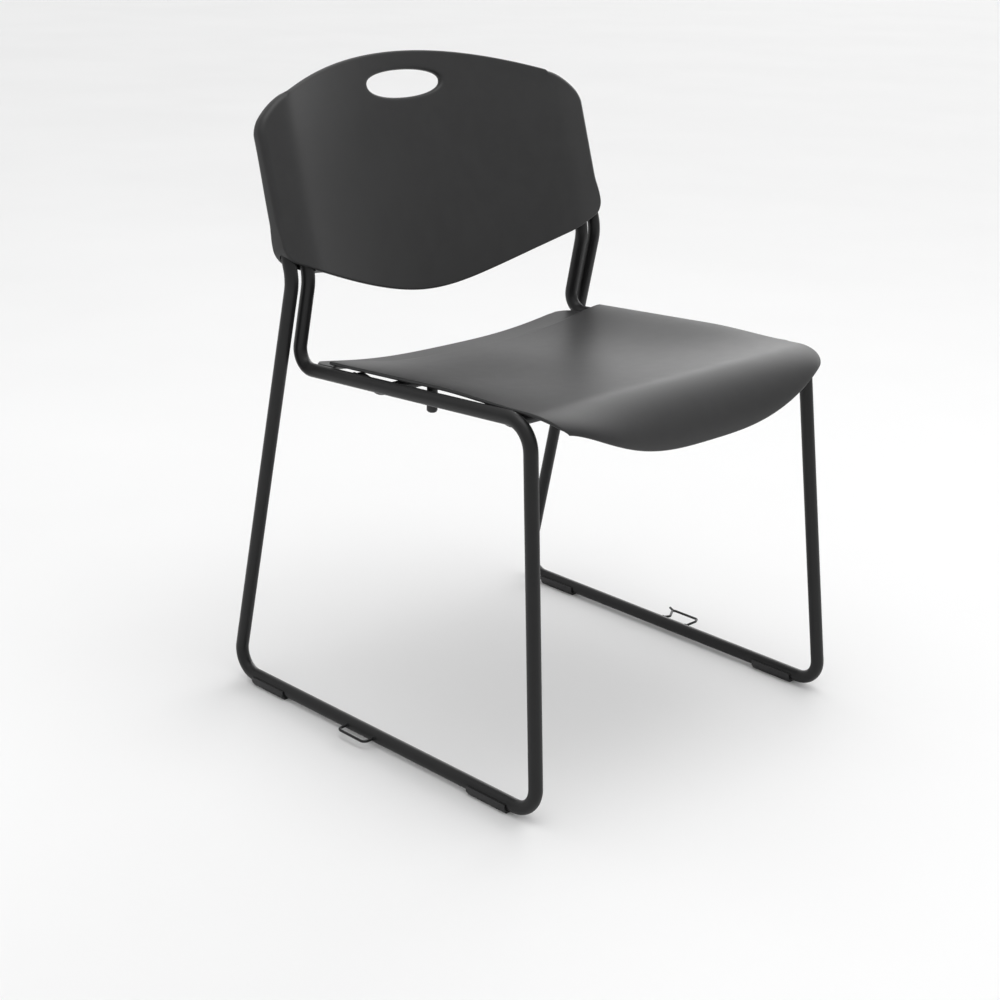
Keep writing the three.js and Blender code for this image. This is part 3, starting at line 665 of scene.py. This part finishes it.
def dish(y):
    """Depth of the seat's middle below the line of its rims."""
    ahead = (y - DISH_Y) / (CREST_Y - DISH_Y)
    behind = (y - DISH_Y) / (SEAT_REAR_Y - DISH_Y)
    front, rear = lerp(DISH_MIDDLE, DISH_CREST, ahead ** 2), lerp(DISH_MIDDLE, DISH_REAR, behind ** 2)
    return np.where(y < DISH_Y, front, rear)


def seat_half_width(y):
    width = lerp(SEAT_HALF_WIDTH, TAIL_HALF_WIDTH, smoothstep(y, NOTCH_Y, NOTCH_Y + NOTCH_LENGTH))
    into = np.maximum(0, y - (SEAT_REAR_Y - SEAT_REAR_CORNER))
    return width - SEAT_REAR_CORNER + np.sqrt(np.maximum(0, SEAT_REAR_CORNER ** 2 - into ** 2))


def bowl(x, half_width):
    """Share of the way up from the seat's middle to its rim."""
    share = np.minimum(1, np.abs(x) / half_width)
    return 1 - (1 - share ** BOWL_FLOOR) ** BOWL_RIM


def rim_edge_z(y):
    """Height of the seat's side edges: along the rails, easing down toward the front corners and the tail."""
    front = FRONT_EDGE_DROP * (1 - smoothstep(y, CREST_Y, FRONT_EDGE_Y))
    return rim_z(y) - front - TAIL_DROP * smoothstep(y, NOTCH_Y, NOTCH_Y + TAIL_RAMP)


def seat_point(u, v):
    """Upper face of the seat: u from -1 to 1 across, v from 0 at the lip's lower edge to 1 at the rear."""
    u, v = np.broadcast_arrays(np.asarray(u, float), np.asarray(v, float))
    turn = np.minimum(v / LIP_SHARE, 1) * math.pi / 2
    rise, back = np.sin(turn), 1 - np.cos(turn)
    lip_x = u * lerp(LIP_END_X, SEAT_HALF_WIDTH, rise)
    middle = lerp(LIP_Y, CREST_Y, back), lerp(LIP_Z, rim_z(CREST_Y) - DISH_CREST, rise)
    end = lerp(LIP_END_Y, CREST_Y, back), lerp(LIP_END_Z, rim_edge_z(CREST_Y), rise)
    lip_y = lerp(middle[0], end[0], np.abs(u) ** LIP_END_POWER)
    lip_z = lerp(middle[1], end[1], bowl(lip_x, lerp(LIP_END_X, SEAT_HALF_WIDTH, rise)))
    y = lerp(CREST_Y, SEAT_REAR_Y, np.maximum(0, (v - LIP_SHARE) / (1 - LIP_SHARE)))
    x = u * seat_half_width(y)
    z = lerp(rim_z(y) - dish(y), rim_edge_z(y), bowl(x, SEAT_HALF_WIDTH))
    in_lip = v < LIP_SHARE
    x, y, z = np.where(in_lip, lip_x, x), np.where(in_lip, lip_y, y), np.where(in_lip, lip_z, z)
    rim_fall = (RAIL_FRONT[2] - RAIL_REAR[2]) / (RAIL_REAR[1] - RAIL_FRONT[1])
    dish_fall = 2 * (DISH_MIDDLE - DISH_CREST) / (DISH_Y - CREST_Y)
    kink = rim_fall + dish_fall * (1 - bowl(x, SEAT_HALF_WIDTH))
    z = z - kink * np.maximum(0, CREST_EASE - np.abs(y - CREST_Y)) ** 2 / (4 * CREST_EASE)
    return np.stack([x, y, z], -1)


def seat_share(y):
    return LIP_SHARE + (1 - LIP_SHARE) * (y - CREST_Y) / (SEAT_REAR_Y - CREST_Y)


def seat_top_z(x, y):
    return float(seat_point(x / seat_half_width(y), seat_share(y))[2])


def grid_normals(grid):
    """Unit normals of a grid of points, from its two directions."""
    along = np.gradient(grid, axis=0)
    across = np.gradient(grid, axis=1)
    normal = np.cross(across, along)
    return normal / np.linalg.norm(normal, axis=-1, keepdims=True)


def thick_sheet(grid, thickness, edge_steps=8):
    """A closed sheet under a grid of points, with a full round edge."""
    rows, columns = grid.shape[:2]
    normal = grid_normals(grid)
    index = np.arange(rows * columns).reshape(rows, columns)
    border = np.concatenate([index[0, :-1], index[:-1, -1], index[-1, :0:-1], index[:0:-1, 0]])
    flat, flat_normal = grid.reshape(-1, 3).copy(), normal.reshape(-1, 3)
    edge = flat[border]
    tangent = np.roll(edge, -1, axis=0) - np.roll(edge, 1, axis=0)
    outward = np.cross(tangent, flat_normal[border])
    outward /= np.linalg.norm(outward, axis=1, keepdims=True)
    radius = thickness / 2
    flat[border] -= outward * radius
    below = flat - flat_normal * thickness
    centre = flat[border] - flat_normal[border] * radius
    points = [flat, below]
    for step in range(1, edge_steps):
        angle = math.pi / 2 - math.pi * step / edge_steps
        points.append(centre + radius * (outward * math.cos(angle) + flat_normal[border] * math.sin(angle)))
    faces = []
    for j in range(rows - 1):
        for i in range(columns - 1):
            a, b, c, d = index[j, i], index[j, i + 1], index[j + 1, i + 1], index[j + 1, i]
            faces.append((a, b, c, d))
            faces.append((a + flat.shape[0], d + flat.shape[0], c + flat.shape[0], b + flat.shape[0]))
    count = len(border)
    loops = [border]
    loops += [2 * len(flat) + step * count + np.arange(count) for step in range(edge_steps - 1)]
    loops.append(border + len(flat))
    return np.concatenate(points), faces + loop_quads(loops)


SEAT_FIXINGS = [
    (f"{row}_{side}", sign * TAB_X, rod_y, rod_y + inward * TAB_SCREW_OFFSET, inward)
    for row, rod_y, inward in (("front", CROSS_FRONT_Y, 1), ("rear", CROSS_REAR_Y, -1))
    for side, sign in SIDES
]


def seat_shell():
    half = 1 - (1 - np.linspace(0, 1, 54)) ** 1.3
    across = np.concatenate([-half[:0:-1], half])
    lip = LIP_SHARE * np.concatenate([[0, 0.045], np.linspace(0.08, 1, 36)])
    body_y = np.concatenate([np.linspace(56, 362, 62), np.linspace(366, 384, 25), np.linspace(387, 417, 16)])
    tail = SEAT_REAR_Y - np.array([5, 3, 0])
    along = np.concatenate([lip, seat_share(body_y), seat_share(tail)])
    grid = seat_point(across[None, :], along[:, None])
    sheet_points, sheet_faces = thick_sheet(grid, SHELL)
    shapes = [(sheet_points, sheet_faces)]
    for _, x, rod_y, screw_y, _ in SEAT_FIXINGS:
        bottom = tab_top(rod_y) + GAP
        top = seat_top_z(x, screw_y) - SHELL * 0.6
        profile = [(SCREW_RADIUS + GAP, bottom + 0.4), (SCREW_RADIUS + GAP + 0.4, bottom),
                   (BOSS_RADIUS - 0.6, bottom), (BOSS_RADIUS, bottom + 0.6), (BOSS_RADIUS, top - 4),
                   (BOSS_RADIUS + 0.7, top - 2.5), (BOSS_RADIUS + 2, top - 1)]
        shapes.append(turned(profile, (x, screw_y, 0), (0, 0, 1), 40))
    add_piece("seat", new_mesh("seat", *join_shapes(shapes)), "seat_plastic", ["seat_shell"])


def screw(name, base, axis, nodes):
    """A round-headed screw with a hexagonal socket; base is the seat of the head, axis points outward."""
    sides = 48
    angles = np.arange(sides) * 2 * math.pi / sides
    hexagon = 1 / np.maximum.reduce([np.cos(angles - k * math.pi / 3) for k in range(6)])
    axis = unit(np.array(axis, float))
    pair = cross_directions([axis])[0]

    def ring(radius, along):
        radii = np.full(sides, radius) if np.isscalar(radius) else radius
        offsets = np.outer(radii * np.cos(angles), pair[0]) + np.outer(radii * np.sin(angles), pair[1])
        return base + axis * along + offsets

    socket = SOCKET_RADIUS * hexagon
    rings = [ring(socket * 0.98, SCREW_HEAD_HEIGHT - SOCKET_DEPTH), ring(socket, SCREW_HEAD_HEIGHT - 0.15),
             ring(socket * 1.06, SCREW_HEAD_HEIGHT)]
    for angle in np.radians([62, 50, 38, 26, 14, 4]):
        spread = SCREW_HEAD * (0.55 + 0.45 * math.cos(angle) ** 0.8)
        rings.append(ring(spread, SCREW_HEAD_HEIGHT * math.sin(angle) ** 0.8 * 0.98))
    rings += [ring(SCREW_HEAD, 0.0), ring(SCREW_RADIUS, 0.0), ring(SCREW_RADIUS, -SHANK_LENGTH)]
    add_piece(name, new_mesh("screw", *skin(rings)), "screw_steel", nodes)


def stacking_bumper(name, sign):
    """A round-bottomed nylon foot under the seat's rim, which lands on the chair below."""
    top = seat_top_z(BUMPER_X - BUMPER_RADIUS, BUMPER_Y) - SHELL - GAP
    edge = 0.6
    profile = [(edge, 0)]
    for angle in np.radians(np.arange(8, 91, 8)):
        profile.append((BUMPER_RADIUS * (0.3 + 0.7 * math.sin(angle)), BUMPER_DOME * (1 - math.cos(angle))))
    height = top - BUMPER_BOTTOM
    profile += [(BUMPER_RADIUS, BUMPER_DOME + 0.2), (BUMPER_RADIUS, height / 2),
                (BUMPER_RADIUS, height - edge), (BUMPER_RADIUS - edge, height)]
    shape = turned(profile, (sign * BUMPER_X, BUMPER_Y, BUMPER_BOTTOM), (0, 0, 1), 36)
    add_piece(f"bumper_{name}", new_mesh("bumper", *shape), "nylon", [f"stacking_bumper_{name}"])


# ---------- back shell ----------


def corner_depth(side, radius):
    into = np.maximum(0, side - (BACK_HALF_WIDTH - radius))
    return radius - np.sqrt(np.maximum(0, radius ** 2 - into ** 2))


def back_top_z(x):
    side = np.abs(x)
    beyond = np.maximum(0, side - SLEEVE_INNER_X)
    arch = BACK_TOP_Z - BACK_ARCH * (side / SLEEVE_INNER_X) ** 2
    return arch - BACK_SHOULDER * beyond ** 2 - corner_depth(side, BACK_TOP_CORNER)


def back_bottom_z(x):
    rise = BACK_SLOPE * (np.hypot(x, BACK_ROUND) - BACK_ROUND)
    return BACK_BOTTOM_Z + rise + corner_depth(np.abs(x), BACK_BOTTOM_CORNER)


def back_front(x, z):
    """Front face of the back: flat sleeves and an arc between them, with a soft crease where they meet."""
    height = (z - KNEE_Z) / math.cos(RECLINE)
    flat = KNEE_Y + height * math.sin(RECLINE) - SLEEVE_THICKNESS / 2 / math.cos(RECLINE)
    share = (z - BACK_BOTTOM_Z) / (BACK_TOP_Z - BACK_BOTTOM_Z)
    recess = lerp(RECESS_BOTTOM, RECESS_TOP, share)
    inside = (SLEEVE_INNER_X - np.abs(x)) / SLEEVE_INNER_X
    eased = 0.5 * (inside + np.sqrt(inside ** 2 + (CREASE_EASE / SLEEVE_INNER_X) ** 2))
    return flat + recess * (1 - (1 - np.minimum(eased, 1)) ** 2)


def hole_outline(angle):
    cos, sin = np.cos(angle), np.sin(angle)
    x = HOLE_HALF_WIDTH * np.sign(cos) * np.abs(cos) ** (2 / HOLE_POWER)
    up = np.sign(sin) * np.abs(sin) ** (2 / HOLE_POWER)
    return np.stack([x, HOLE_Z + np.where(up > 0, HOLE_RISE, HOLE_DROP) * up], -1)


def nearest(points, outline):
    """Distance from each point to a closed outline, and the index of its nearest vertex."""
    a, b = outline, np.roll(outline, -1, axis=0)
    best = np.full(len(points), np.inf)
    where = np.zeros(len(points), int)
    for k in range(len(a)):
        run = b[k] - a[k]
        share = np.clip((points - a[k]) @ run / (run @ run), 0, 1)
        gap = np.linalg.norm(points - a[k] - share[:, None] * run, axis=1)
        closer = gap < best
        best[closer] = gap[closer]
        where[closer] = k
    return best, where


def rounding(distance, radius):
    """How far a face has turned away at a distance from its outline, with a round edge."""
    into = np.clip(radius - distance, 0, radius)
    return radius - np.sqrt(np.maximum(0, radius ** 2 - into ** 2))


def back_grid():
    """Plan points (x, z) of the back, its quads, its outer loop and the hand hole's loop."""
    cluster = BACK_EDGE * (1 - np.cos(np.linspace(0, math.pi / 2, 10)))
    half = np.concatenate([np.linspace(0, 72, HOLE_COLUMNS), np.linspace(76, 196, 28),
                           np.linspace(198, 222, 17), np.linspace(225, 252.5, 10),
                           BACK_HALF_WIDTH - cluster[::-1]])
    columns = np.concatenate([-half[:0:-1], half])
    from_top = np.concatenate([cluster, [8.4, 10.0]])
    from_bottom = np.array([0, 0.12, 0.45, 0.95, 1.5, 2.2, 3.4, 5.0])
    top, bottom = back_top_z(columns), back_bottom_z(columns)
    share = np.linspace(0, 1, PANEL_ROWS + 2)[1:-1]
    low, high = bottom + from_bottom[-1], top - from_top[-1]
    rows = [bottom + d for d in from_bottom] + [lerp(low, high, s) for s in share]
    rows += [top - d for d in from_top[::-1]]
    z = np.array(rows)
    grid = np.stack([np.broadcast_to(columns, z.shape), z], -1)
    count_rows, count_columns = z.shape
    index = np.arange(z.size).reshape(z.shape)
    centre = count_columns // 2
    left, right = centre - HOLE_COLUMNS, centre + HOLE_COLUMNS
    upper = count_rows - len(from_top)
    lower = int(np.argmin(np.abs(z[:, centre] - (HOLE_Z - HOLE_DROP - HOLE_MARGIN))))
    points = grid.reshape(-1, 2)
    faces = []
    for j in range(count_rows - 1):
        for i in range(count_columns - 1):
            if lower <= j < upper and left <= i < right:
                continue
            faces.append((index[j, i], index[j, i + 1], index[j + 1, i + 1], index[j + 1, i]))
    block = np.concatenate([index[lower, left:right], index[lower:upper, right],
                            index[upper, right:left:-1], index[upper:lower:-1, left]])
    ring_faces, ring_points, hole_loop = hole_rings(points, block)
    outer = np.concatenate([index[0, :-1], index[:-1, -1], index[-1, :0:-1], index[:0:-1, 0]])
    return np.concatenate([points, ring_points]), faces + ring_faces, outer, hole_loop


def hole_rings(points, block):
    """Rings of quads between the gap left in the grid and the hand hole's outline."""
    gap_edge = points[block]
    middle = np.array([0, HOLE_Z - 2.0])
    size = np.array([72.0, (HOLE_RISE + HOLE_DROP) / 2 + 12])     # roughly the gap's half sizes
    toward = (gap_edge - middle) / size
    hole = hole_outline(np.arctan2(toward[:, 1], toward[:, 0]))
    reach = np.linalg.norm(gap_edge - hole, axis=1)
    steps = HOLE_EDGE * (1 - np.cos(np.linspace(0, math.pi / 2, 8)))
    steps = np.concatenate([steps, [7.0]])
    rings = [hole + (gap_edge - hole) * (step / reach)[:, None] for step in steps]
    rings += [lerp(rings[len(steps) - 1], gap_edge, share) for share in (0.25, 0.5, 0.75)]
    start, count = len(points), len(block)
    loops = [start + k * count + np.arange(count) for k in range(len(rings))] + [block]
    return loop_quads(loops), np.concatenate(rings), loops[0]


def back_depths(plan, outer, hole_loop):
    """How far the front and rear faces lie behind the front surface at each plan point."""
    x, z = plan.T
    outline = plan[outer]
    gap, where = nearest(plan, outline)
    height = outline[:, 1] - back_bottom_z(outline[:, 0])
    edge = lerp(BACK_LOWER_EDGE, BACK_EDGE, smoothstep(height, 4, 30))[where]
    hole_gap, _ = nearest(plan, plan[hole_loop])
    sleeve = smoothstep(np.abs(x), SLEEVE_INNER_X - SLEEVE_EASE, SLEEVE_INNER_X)
    top_rim = 1 - smoothstep(back_top_z(x) - z, RIM_HEIGHT * 0.75, RIM_HEIGHT * 1.5)
    hole_rim = 1 - smoothstep(hole_gap, RIM_HEIGHT * 0.6, RIM_HEIGHT * 1.3)
    rim = np.maximum(top_rim, hole_rim)
    panel = np.maximum(lerp(SHELL, TOP_RIM_DEPTH, top_rim), lerp(SHELL, HOLE_RIM_DEPTH, hole_rim))
    thickness = lerp(panel, SLEEVE_THICKNESS, sleeve)
    slope = (RECESS_TOP + RECESS_BOTTOM) * x / SLEEVE_INNER_X ** 2
    slope = np.where(np.abs(x) < SLEEVE_INNER_X, slope, 0)
    thickness = thickness * lerp(np.sqrt(1 + slope ** 2), 1, np.maximum(sleeve, rim))
    front_edge = np.minimum(edge, thickness / 2 - 0.05)
    hole_edge = np.minimum(HOLE_EDGE, thickness / 2 - 0.05)
    rear_edge = lerp(front_edge, SLEEVE_REAR_EDGE, sleeve * smoothstep(height, 20, 120)[where])
    hole_turn = rounding(hole_gap, hole_edge)
    front_turn = np.maximum(rounding(gap, front_edge), hole_turn)
    rear_turn = np.maximum(rounding(gap, rear_edge), hole_turn)
    return front_turn, thickness - rear_turn


def back_mesh():
    plan, quads, outer, hole_loop = back_grid()
    front_depth, rear_depth = back_depths(plan, outer, hole_loop)
    base = np.column_stack([plan[:, 0], back_front(plan[:, 0], plan[:, 1]), plan[:, 1]])
    rearward = np.array([0, math.cos(RECLINE), -math.sin(RECLINE)])
    front = base + front_depth[:, None] * rearward
    rear = base + rear_depth[:, None] * rearward
    count = len(plan)
    faces = list(quads)
    faces += [tuple(i + count for i in reversed(quad)) for quad in quads]
    for loop in (outer, hole_loop[::-1]):
        faces += loop_quads([loop, loop + count])
    return new_mesh("back", np.concatenate([front, rear]), faces)


def pocket_cutter(sign):
    """The room for one side's two tubes at the mouth of a sleeve."""
    radius = TUBE_RADIUS + POCKET_CLEARANCE
    ring = []
    for angle in np.radians(np.arange(-90, 91, 7.5)):
        ring.append((OUTER_UPRIGHT_X + radius * math.cos(angle), radius * math.sin(angle)))
    for angle in np.radians(np.arange(90, 271, 7.5)):
        ring.append((INNER_UPRIGHT_X + radius * math.cos(angle), radius * math.sin(angle)))
    rings = [np.array([upright_point(sign * x, up, behind) for x, behind in ring])
             for up in (-30, UPRIGHT_LENGTH + GAP)]
    mesh = new_mesh("pocket", *skin(rings))
    tidy_normals(mesh)
    cutter = bpy.data.objects.new("pocket_cutter", mesh)
    bpy.context.scene.collection.objects.link(cutter)
    return cutter


def back_shell():
    mesh = back_mesh()
    tidy_normals(mesh)
    solid = bpy.data.objects.new("back_solid", mesh)
    bpy.context.scene.collection.objects.link(solid)
    cutters = [pocket_cutter(sign) for _, sign in SIDES]
    for cutter in cutters:
        cut = solid.modifiers.new("pocket", "BOOLEAN")
        cut.operation = "DIFFERENCE"
        cut.solver = "EXACT"
        cut.object = cutter
    bpy.context.view_layer.update()
    shown = solid.evaluated_get(bpy.context.evaluated_depsgraph_get())
    result = bpy.data.meshes.new_from_object(shown)
    for helper in [solid, *cutters]:
        bpy.data.objects.remove(helper)
    add_piece("backrest", result, "back_plastic", ["back_shell"])


# ---------- glides ----------


def glide_section(inset):
    """Cross-section of a glide about the runner's centre: a clip round the tube's lower half."""
    inner = TUBE_RADIUS + 0.1
    half, sole, foot = GLIDE_HALF_WIDTH - inset, GLIDE_SOLE_HALF_WIDTH - inset, -RUNNER_Z + inset
    lift = math.asin(GLIDE_WRAP / inner)
    points = [(half, GLIDE_WRAP - inset)]
    for angle in np.linspace(-lift, math.pi + lift, 33):
        points.append(((inner + inset) * math.cos(angle), -(inner + inset) * math.sin(angle)))
    points += [(-half, GLIDE_WRAP - inset), (-half, GLIDE_WALL_FOOT), (-sole, foot), (sole, foot),
               (half, GLIDE_WALL_FOOT)]
    return points


def glide(name, sign, front_y):
    """A nylon clip with a flat sole, its ends and long edges slightly rounded."""
    skew = math.atan2(FOOT_REAR[0] - FOOT_FRONT[0], FOOT_REAR[1])
    middle_y = front_y + GLIDE_LENGTH / 2
    centre = np.array([sign * runner_x(middle_y), middle_y, RUNNER_Z])
    along = np.array([sign * math.sin(skew), math.cos(skew), 0])
    across = np.array([math.cos(skew), -sign * math.sin(skew), 0])
    edge, half = GLIDE_EDGE, GLIDE_LENGTH / 2
    rings = []
    for inset, at in ((edge, -half), (edge * 0.3, -half + edge * 0.3), (0, -half + edge),
                      (0, half - edge), (edge * 0.3, half - edge * 0.3), (edge, half)):
        wide, high = np.array(glide_section(inset)).T
        rings.append(centre + along * at + np.outer(wide, across) + np.outer(high, (0, 0, 1.0)))
    piece = add_piece(f"floor_{name}", new_mesh("glide", *skin(rings)), "nylon", [name])
    bevel = piece.modifiers.new("rounded_edges", "BEVEL")
    bevel.width = GLIDE_BEVEL * MM
    bevel.segments = 3
    bevel.limit_method = "ANGLE"
    bevel.angle_limit = math.radians(40)


# ---------- ganging wires ----------


def wire(name, corners, bends, nodes, extra=()):
    points, directions = bent_line(corners, bends, math.radians(6))
    shapes = [rod(points, directions, WIRE_RADIUS, WIRE_SIDES, 0.3), *extra]
    add_piece(name, new_mesh("wire", *join_shapes(shapes)), "frame_powder", nodes)


def wire_weld(name, sign, y, height):
    """The bead where a wire meets the runner's outer side."""
    radius = WIRE_RADIUS + 0.5
    ring = []
    for angle in np.arange(WIRE_WELD_POINTS) * 2 * math.pi / WIRE_WELD_POINTS:
        up = height + radius * math.sin(angle)
        across = runner_x(y) + math.sqrt(TUBE_RADIUS ** 2 - up ** 2) + 0.2
        ring.append((sign * across, y + radius * math.cos(angle), RUNNER_Z + up))
    add_piece(name, new_mesh("weld", *bead(ring, WIRE_WELD_RADIUS)), "frame_powder")


def tube_face(y, height=0.0):
    return runner_x(y) + math.sqrt(TUBE_RADIUS ** 2 - height ** 2)


def ganging_loop():
    reach = tube_face((LOOP_FRONT + LOOP_REAR) / 2) + LOOP_REACH + GAP
    corners = [(-tube_face(LOOP_REAR), LOOP_REAR, RUNNER_Z), (-reach, LOOP_REAR, RUNNER_Z),
               (-reach, LOOP_FRONT, RUNNER_Z), (-tube_face(LOOP_FRONT), LOOP_FRONT, RUNNER_Z)]
    wire("loop_wire", corners, [LOOP_BEND, LOOP_BEND], ["ganging_loop_left"])
    wire_weld("weld_loop_rear", -1, LOOP_REAR, 0)
    wire_weld("weld_loop_front", -1, LOOP_FRONT, 0)


def ganging_hook():
    z = RUNNER_Z + HOOK_HEIGHT
    x = tube_face(HOOK_REAR, HOOK_HEIGHT) + GAP
    out = x + WIRE_RADIUS / 2 + HOOK_REACH
    corners = [(x, HOOK_REAR, z), (x + HOOK_REACH * 0.3, HOOK_REAR - HOOK_SPUR / 2, z),
               (out, HOOK_REAR + HOOK_SPUR, z), (out, HOOK_FRONT + HOOK_SPUR / 2, z),
               (out - HOOK_SPUR, HOOK_FRONT, z), (x, HOOK_FRONT, z)]
    root = np.array([out - WIRE_RADIUS, HOOK_REAR + HOOK_SPUR - 2 * WIRE_RADIUS, z])
    tip = np.array([out + HOOK_SPUR / 2, HOOK_REAR + 2 * HOOK_SPUR, z])
    along = unit(tip - root)
    spur = rod(np.array([root, tip]), np.array([along, along]), WIRE_RADIUS, WIRE_SIDES, 0.6)
    wire("hook_wire", corners, [HOOK_BEND] * 4, ["ganging_hook_right"], [spur])
    wire_weld("weld_hook_rear", 1, HOOK_REAR, HOOK_HEIGHT)
    wire_weld("weld_hook_front", 1, HOOK_FRONT, HOOK_HEIGHT)


# ---------- the chair ----------

for side_name, side_sign in SIDES:
    frame_tube(side_name, side_sign)
    glide(f"glide_front_{side_name}", side_sign, GLIDE_FRONT_Y)
    glide(f"glide_rear_{side_name}", side_sign, GLIDE_REAR_Y)
    stacking_bumper(side_name, side_sign)
    for which, upright_x in (("inner", INNER_UPRIGHT_X), ("outer", OUTER_UPRIGHT_X)):
        screw(f"rear_screw_{which}_{side_name}",
              upright_point(side_sign * upright_x, BACK_SCREW_UP, SLEEVE_THICKNESS / 2 + GAP),
              (0, math.cos(RECLINE), -math.sin(RECLINE)), [f"back_screw_{which}_{side_name}"])
cross_rod("front", CROSS_FRONT_Y)
cross_rod("rear", CROSS_REAR_Y)
for fixing, tab_x, tab_rod_y, tab_screw_y, tab_inward in SEAT_FIXINGS:
    seat_tab(fixing, tab_x, tab_rod_y, tab_inward)
    screw(f"under_screw_{fixing}", np.array([tab_x, tab_screw_y, tab_bottom(tab_rod_y) - GAP]),
          (0, 0, -1), [f"seat_screw_{fixing}"])
seat_shell()
back_shell()
ganging_loop()
ganging_hook()

# ---------- camera, floor and light ----------


def aim(obj, position, target, roll=0.0):
    """Puts a camera or a light at a place and turns it toward another, both in the chair's own frame."""
    direction = Vector(to_frame(target)) - Vector(to_frame(position))
    facing = direction.to_track_quat("-Z", "Y").to_matrix() @ Matrix.Rotation(roll, 3, "Z")
    obj.rotation_euler = facing.to_euler()
    obj.location = Vector(to_frame(position))


def add_camera():
    data = bpy.data.cameras.new("camera")
    data.sensor_width = CAMERA_SENSOR
    data.lens = CAMERA_LENS
    data.clip_end = 100
    camera = bpy.data.objects.new("camera", data)
    bpy.context.scene.collection.objects.link(camera)
    azimuth, elevation = math.radians(CAMERA_AZIMUTH), math.radians(CAMERA_ELEVATION)
    away = np.array([math.sin(azimuth) * math.cos(elevation), -math.cos(azimuth) * math.cos(elevation),
                     math.sin(elevation)])
    aim(camera, np.array(CAMERA_TARGET) + away * CAMERA_DISTANCE, CAMERA_TARGET, math.radians(CAMERA_ROLL))
    bpy.context.scene.camera = camera


def add_floor():
    reach = FLOOR_REACH
    corners = [(-reach, -reach, 0), (reach, -reach, 0), (reach, reach, 0), (-reach, reach, 0)]
    mesh = new_mesh("floor", corners, [(0, 1, 2, 3)])
    mesh.materials.append(pale_floor("pale_floor"))
    floor = bpy.data.objects.new("floor", mesh)
    bpy.context.scene.collection.objects.link(floor)


def add_area(name, position, target, width, height, watts):
    data = bpy.data.lights.new(name, "AREA")
    data.shape = "RECTANGLE"
    data.size = width * MM
    data.size_y = height * MM
    data.energy = watts
    light = bpy.data.objects.new(name, data)
    bpy.context.scene.collection.objects.link(light)
    aim(light, position, target)


def soft_patch(tree, direction, azimuth, elevation, reach, strength):
    """A bright patch of the dome round one direction, fading out at reach degrees."""
    a, e = math.radians(azimuth), math.radians(elevation)
    dot = tree.nodes.new("ShaderNodeVectorMath")
    dot.operation = "DOT_PRODUCT"
    dot.inputs[1].default_value = (math.sin(a) * math.cos(e), math.cos(a) * math.cos(e), math.sin(e))
    tree.links.new(direction, dot.inputs[0])
    fade = tree.nodes.new("ShaderNodeMapRange")
    fade.interpolation_type = "SMOOTHSTEP"
    fade.inputs["From Min"].default_value = math.cos(math.radians(reach))
    fade.inputs["From Max"].default_value = math.cos(math.radians(reach * PATCH_CORE))
    fade.inputs["To Max"].default_value = strength
    tree.links.new(dot.outputs["Value"], fade.inputs["Value"])
    return fade.outputs["Result"]


def add_world():
    """A soft studio dome, brighter overhead, with a large bright card behind and on the right."""
    world = bpy.data.worlds.new("studio")
    world.use_nodes = True
    tree = world.node_tree
    direction = tree.nodes.new("ShaderNodeTexCoord").outputs["Generated"]
    split = tree.nodes.new("ShaderNodeSeparateXYZ")
    tree.links.new(direction, split.inputs[0])
    dome = tree.nodes.new("ShaderNodeMapRange")
    dome.inputs["To Min"].default_value = DOME_HORIZON
    dome.inputs["To Max"].default_value = DOME_ZENITH
    tree.links.new(split.outputs["Z"], dome.inputs["Value"])
    level = dome.outputs["Result"]
    for patch in DOME_PATCHES:
        total = tree.nodes.new("ShaderNodeMath")
        tree.links.new(level, total.inputs[0])
        tree.links.new(soft_patch(tree, direction, *patch), total.inputs[1])
        level = total.outputs[0]
    background = tree.nodes["Background"]
    background.inputs["Color"].default_value = (1, 1, 1, 1)
    tree.links.new(level, background.inputs["Strength"])
    bpy.context.scene.world = world


def add_lights():
    """One large soft box overhead, for a gentle shadow under the chair."""
    add_area("overhead", (200, 0, 3200), (0, 250, 400), 1800, 1800, 22)


add_camera()
add_floor()
add_world()
add_lights()
bpy.context.scene.view_settings.view_transform = "Standard"
bpy.context.scene.view_settings.look = "None"
